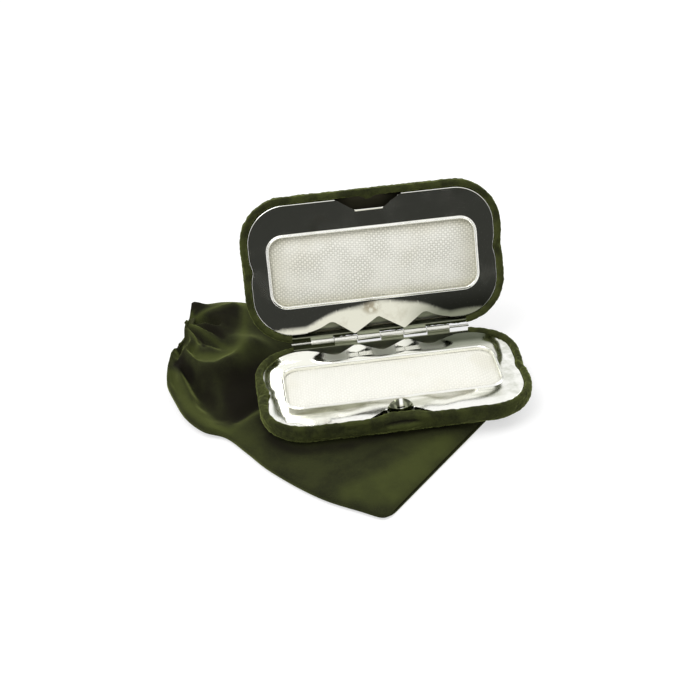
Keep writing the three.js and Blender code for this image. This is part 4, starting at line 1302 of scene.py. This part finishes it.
for half, place in HALVES.items():
    plate = bmesh.new()
    around = [*FRAME_OUTLINE, *[(-x, y) for x, y in reversed(FRAME_OUTLINE[1:])]]
    corners = [plate.verts.new((x, y, PLATE_TOP)) for x, y in reversed(around)]
    plate.faces.new(corners)
    for offset, segments, places in ROUNDED:
        picked = [
            vert for vert in plate.verts
            if any(math.hypot(abs(vert.co.x) - x, vert.co.y - y) < 0.01 for x, y in places)
        ]
        bmesh.ops.bevel(
            plate, geom=picked, offset=offset, offset_type="OFFSET", segments=segments,
            profile=0.5, affect="VERTICES", material=-1,
        )
    for edge in list(plate.edges):
        cuts = int(edge.calc_length() / EDGE_PART)
        if cuts:
            bmesh.ops.subdivide_edges(plate, edges=[edge], cuts=cuts)
    bmesh.ops.delete(plate, geom=list(plate.faces), context="FACES_ONLY")
    window_ring(plate, BEAD_WIDTH + 0.4, PLATE_TOP)
    bmesh.ops.triangle_fill(plate, edges=plate.edges, use_beauty=True, normal=(0, 0, 1))
    columns = [((line * COLUMN_WIDTH, 0, 0), (1, 0, 0)) for line in range(-26, 27)]
    rows = [((0, line * EDGE_PART, 0), (0, 1, 0)) for line in range(-17, 21)]
    for point, across in (*columns, *rows):
        cut_through(plate, point, across, 0.02)
    open_edges = [edge for edge in plate.edges if edge.is_boundary]
    window_edges = []
    rim_edges = []
    notch_edges = []
    for edge in open_edges:
        middle = (edge.verts[0].co + edge.verts[1].co) / 2
        aside = abs(middle.x) - WINDOW_LENGTH / 2
        before = abs(middle.y - WINDOW_MIDDLE) - WINDOW_WIDTH / 2
        if max(aside, before) < BEAD_WIDTH + 0.6:
            window_edges.append(edge)
        elif middle.y < FRAME_Y + 0.01 and (abs(middle.x) > 31 or middle.y < -FRAME_Y + 0.01):
            rim_edges.append(edge)
        elif abs(middle.x) < 5.9 and middle.y < -FRAME_Y + 5.3:
            notch_edges.append(edge)
    bead = [
        (1.4, PLATE_TOP), (1.25, -1.18), (1.12, -1.08), (0.98, -0.9), (0.85, -0.74), (0.7, -0.66),
        (0.5, -0.66), (0.32, -0.76), (0.16, -0.98), (0.05, -1.3), (0, -1.7), (0, WINDOW_LIP_END),
    ]
    turned(plate, window_edges, out_of_window, (BEAD_WIDTH + 0.4, PLATE_TOP), bead)
    lip = [
        (0.1, PLATE_TOP), (0.2, -1.22), (0.35, -1.34), (0.43, -1.5), (0.45, -1.8), (0.45, -2.9),
        (0.45, LIP_END),
    ]
    turned(plate, rim_edges, out_of_case, (0, PLATE_TOP), lip)
    notch_lip = [(0.1, -1.22), (0.22, -1.34), (0.28, -1.5), (0.3, -1.75)]
    turned(plate, notch_edges, into_notch, (0, PLATE_TOP), notch_lip)
    for vert in plate.verts:
        WORN[half](vert)
    pinch(plate)
    bmesh.ops.recalc_face_normals(plate, faces=plate.faces)
    level = max(plate.faces, key=lambda face: face.calc_area())
    if level.normal.z < 0:
        bmesh.ops.reverse_faces(plate, faces=plate.faces)
    finished(
        plate, f"{half}_plate", place, BRIGHT, half, [f"{half}_frame"],
        thick=FRAME_SHEET, even=False, edge=SHEET_EDGE,
    )


# Hinge pin
# One long steel wire through all six knuckles. Its ends show bare beside the velvet.
PIN_RADIUS = 0.55
PIN_LENGTH = 78
PIN_PARTS = 13

pin = bmesh.new()
end = bmesh.ops.create_circle(pin, segments=24, radius=PIN_RADIUS)["verts"]
bmesh.ops.rotate(pin, cent=NOTHING, matrix=Matrix.Rotation(math.pi / 2, 3, "Y"), verts=end)
bmesh.ops.translate(pin, vec=(-PIN_LENGTH / 2, HINGE_Y, 0), verts=end)
ring = list(pin.edges)
for step in range(PIN_PARTS):
    verts, ring = extruded(pin, ring)
    bmesh.ops.translate(pin, vec=(PIN_LENGTH / PIN_PARTS, 0, 0), verts=verts)
bmesh.ops.holes_fill(pin, edges=pin.edges, sides=0)
faced(pin, list(pin.faces), Vector((0, HINGE_Y, 0)))
finished(pin, "hinge_wire", BASE_PLACE, WIRE, "base", ["hinge_pin"], edge=0.12)


# Table, light and camera
# A white table and a white room in soft light. A dark flag stands far in front, seen only
# in the metal, where it keeps the lid's plate from filling with white.
AMBIENT = 0.7
TABLE_SIZE = 2.5
TABLE_GAP = 0.0002
FLAG_SIZE = (1.8, 0.75, 1)
FLAG_PLACE = (0.2, -2.0, 0.375)
CAMERA_PLACE = (-0.06345, -0.52170, 0.35632)
CAMERA_RIGHT = (0.9904, -0.1254, -0.0583)
CAMERA_AHEAD = (0.0757, 0.8444, -0.5303)
FOCAL_PIXELS = 1500
PICTURE_PIXELS = 700


def staged(bm, name, finish):
    """Sets up a sheet of the studio, drawn in metres, that shines by its own light."""
    finish.body.inputs["Specular IOR Level"].default_value = 0.0
    finish.body.inputs["Emission Strength"].default_value = 1.0
    thing = meshed(bm, name, finish.material)
    return thing


world = bpy.data.worlds.new("room")
bpy.context.scene.world = world
room = Graph(world, "Background")
room.body.inputs["Color"].default_value = (1, 1, 1, 1)
room.feed("Strength", room.looked_at() * (1 - AMBIENT) + AMBIENT)

table_shape = bmesh.new()
bmesh.ops.create_grid(table_shape, x_segments=4, y_segments=4, size=TABLE_SIZE)
bmesh.ops.translate(table_shape, vec=(0, 0, -TABLE_GAP), verts=table_shape.verts)
table_top = Finish("table_top", Base_Color=(0.5, 0.5, 0.5, 1), Roughness=0.9)
glow = table_top.between(table_top.looked_at(), (0, 0, 0, 1), (0.6, 0.6, 0.6, 1))
table_top.feed("Emission Color", glow)
staged(table_shape, "table", table_top)

flag_shape = bmesh.new()
bmesh.ops.create_grid(flag_shape, x_segments=2, y_segments=2, size=0.5)
bmesh.ops.scale(flag_shape, vec=FLAG_SIZE, verts=flag_shape.verts)
bmesh.ops.rotate(
    flag_shape, cent=NOTHING, matrix=Matrix.Rotation(math.pi / 2, 3, "X"), verts=flag_shape.verts,
)
bmesh.ops.translate(flag_shape, vec=FLAG_PLACE, verts=flag_shape.verts)
flag_cloth = Finish("flag_cloth", Base_Color=(0.0, 0.0, 0.0, 1), Roughness=1.0)
# Towards its top the flag glows cream, a painted reflection in the curl of the lid's frame
fading = flag_cloth.part(flag_cloth.place(), 2).above(0.27, 0.46)
glow = flag_cloth.between(fading, (0.036, 0.037, 0.033, 1), (0.8, 0.79, 0.7, 1))
flag_cloth.feed("Emission Color", glow)
flag = staged(flag_shape, "flag", flag_cloth)
flag.visible_camera = False
flag.visible_diffuse = False
flag.visible_shadow = False
flag.visible_transmission = False

for name, place, aim, width, watts in (
    ("window light", (-0.55, -0.35, 1.15), (0, 0, 0.03), 0.9, 8.5),
    ("fill light", (0.9, 0.5, 0.9), (0, 0, 0.03), 0.7, 2.0),
):
    lamp = bpy.data.lights.new(name, "AREA")
    lamp.size = width
    lamp.energy = watts
    holder = in_scene(name, lamp)
    holder.location = place
    holder.rotation_euler = (Vector(place) - Vector(aim)).to_track_quat("Z", "Y").to_euler()

view = bpy.data.cameras.new("view")
view.sensor_width = 36
view.lens = view.sensor_width * FOCAL_PIXELS / PICTURE_PIXELS
camera = in_scene("view", view)
ahead = Vector(CAMERA_AHEAD).normalized()
up = Vector(CAMERA_RIGHT).normalized().cross(ahead).normalized()
facing = Matrix((ahead.cross(up), up, -ahead)).transposed().to_4x4()
camera.matrix_world = Matrix.Translation(CAMERA_PLACE) @ facing
bpy.context.scene.camera = camera
bpy.context.scene.view_settings.view_transform = "Standard"
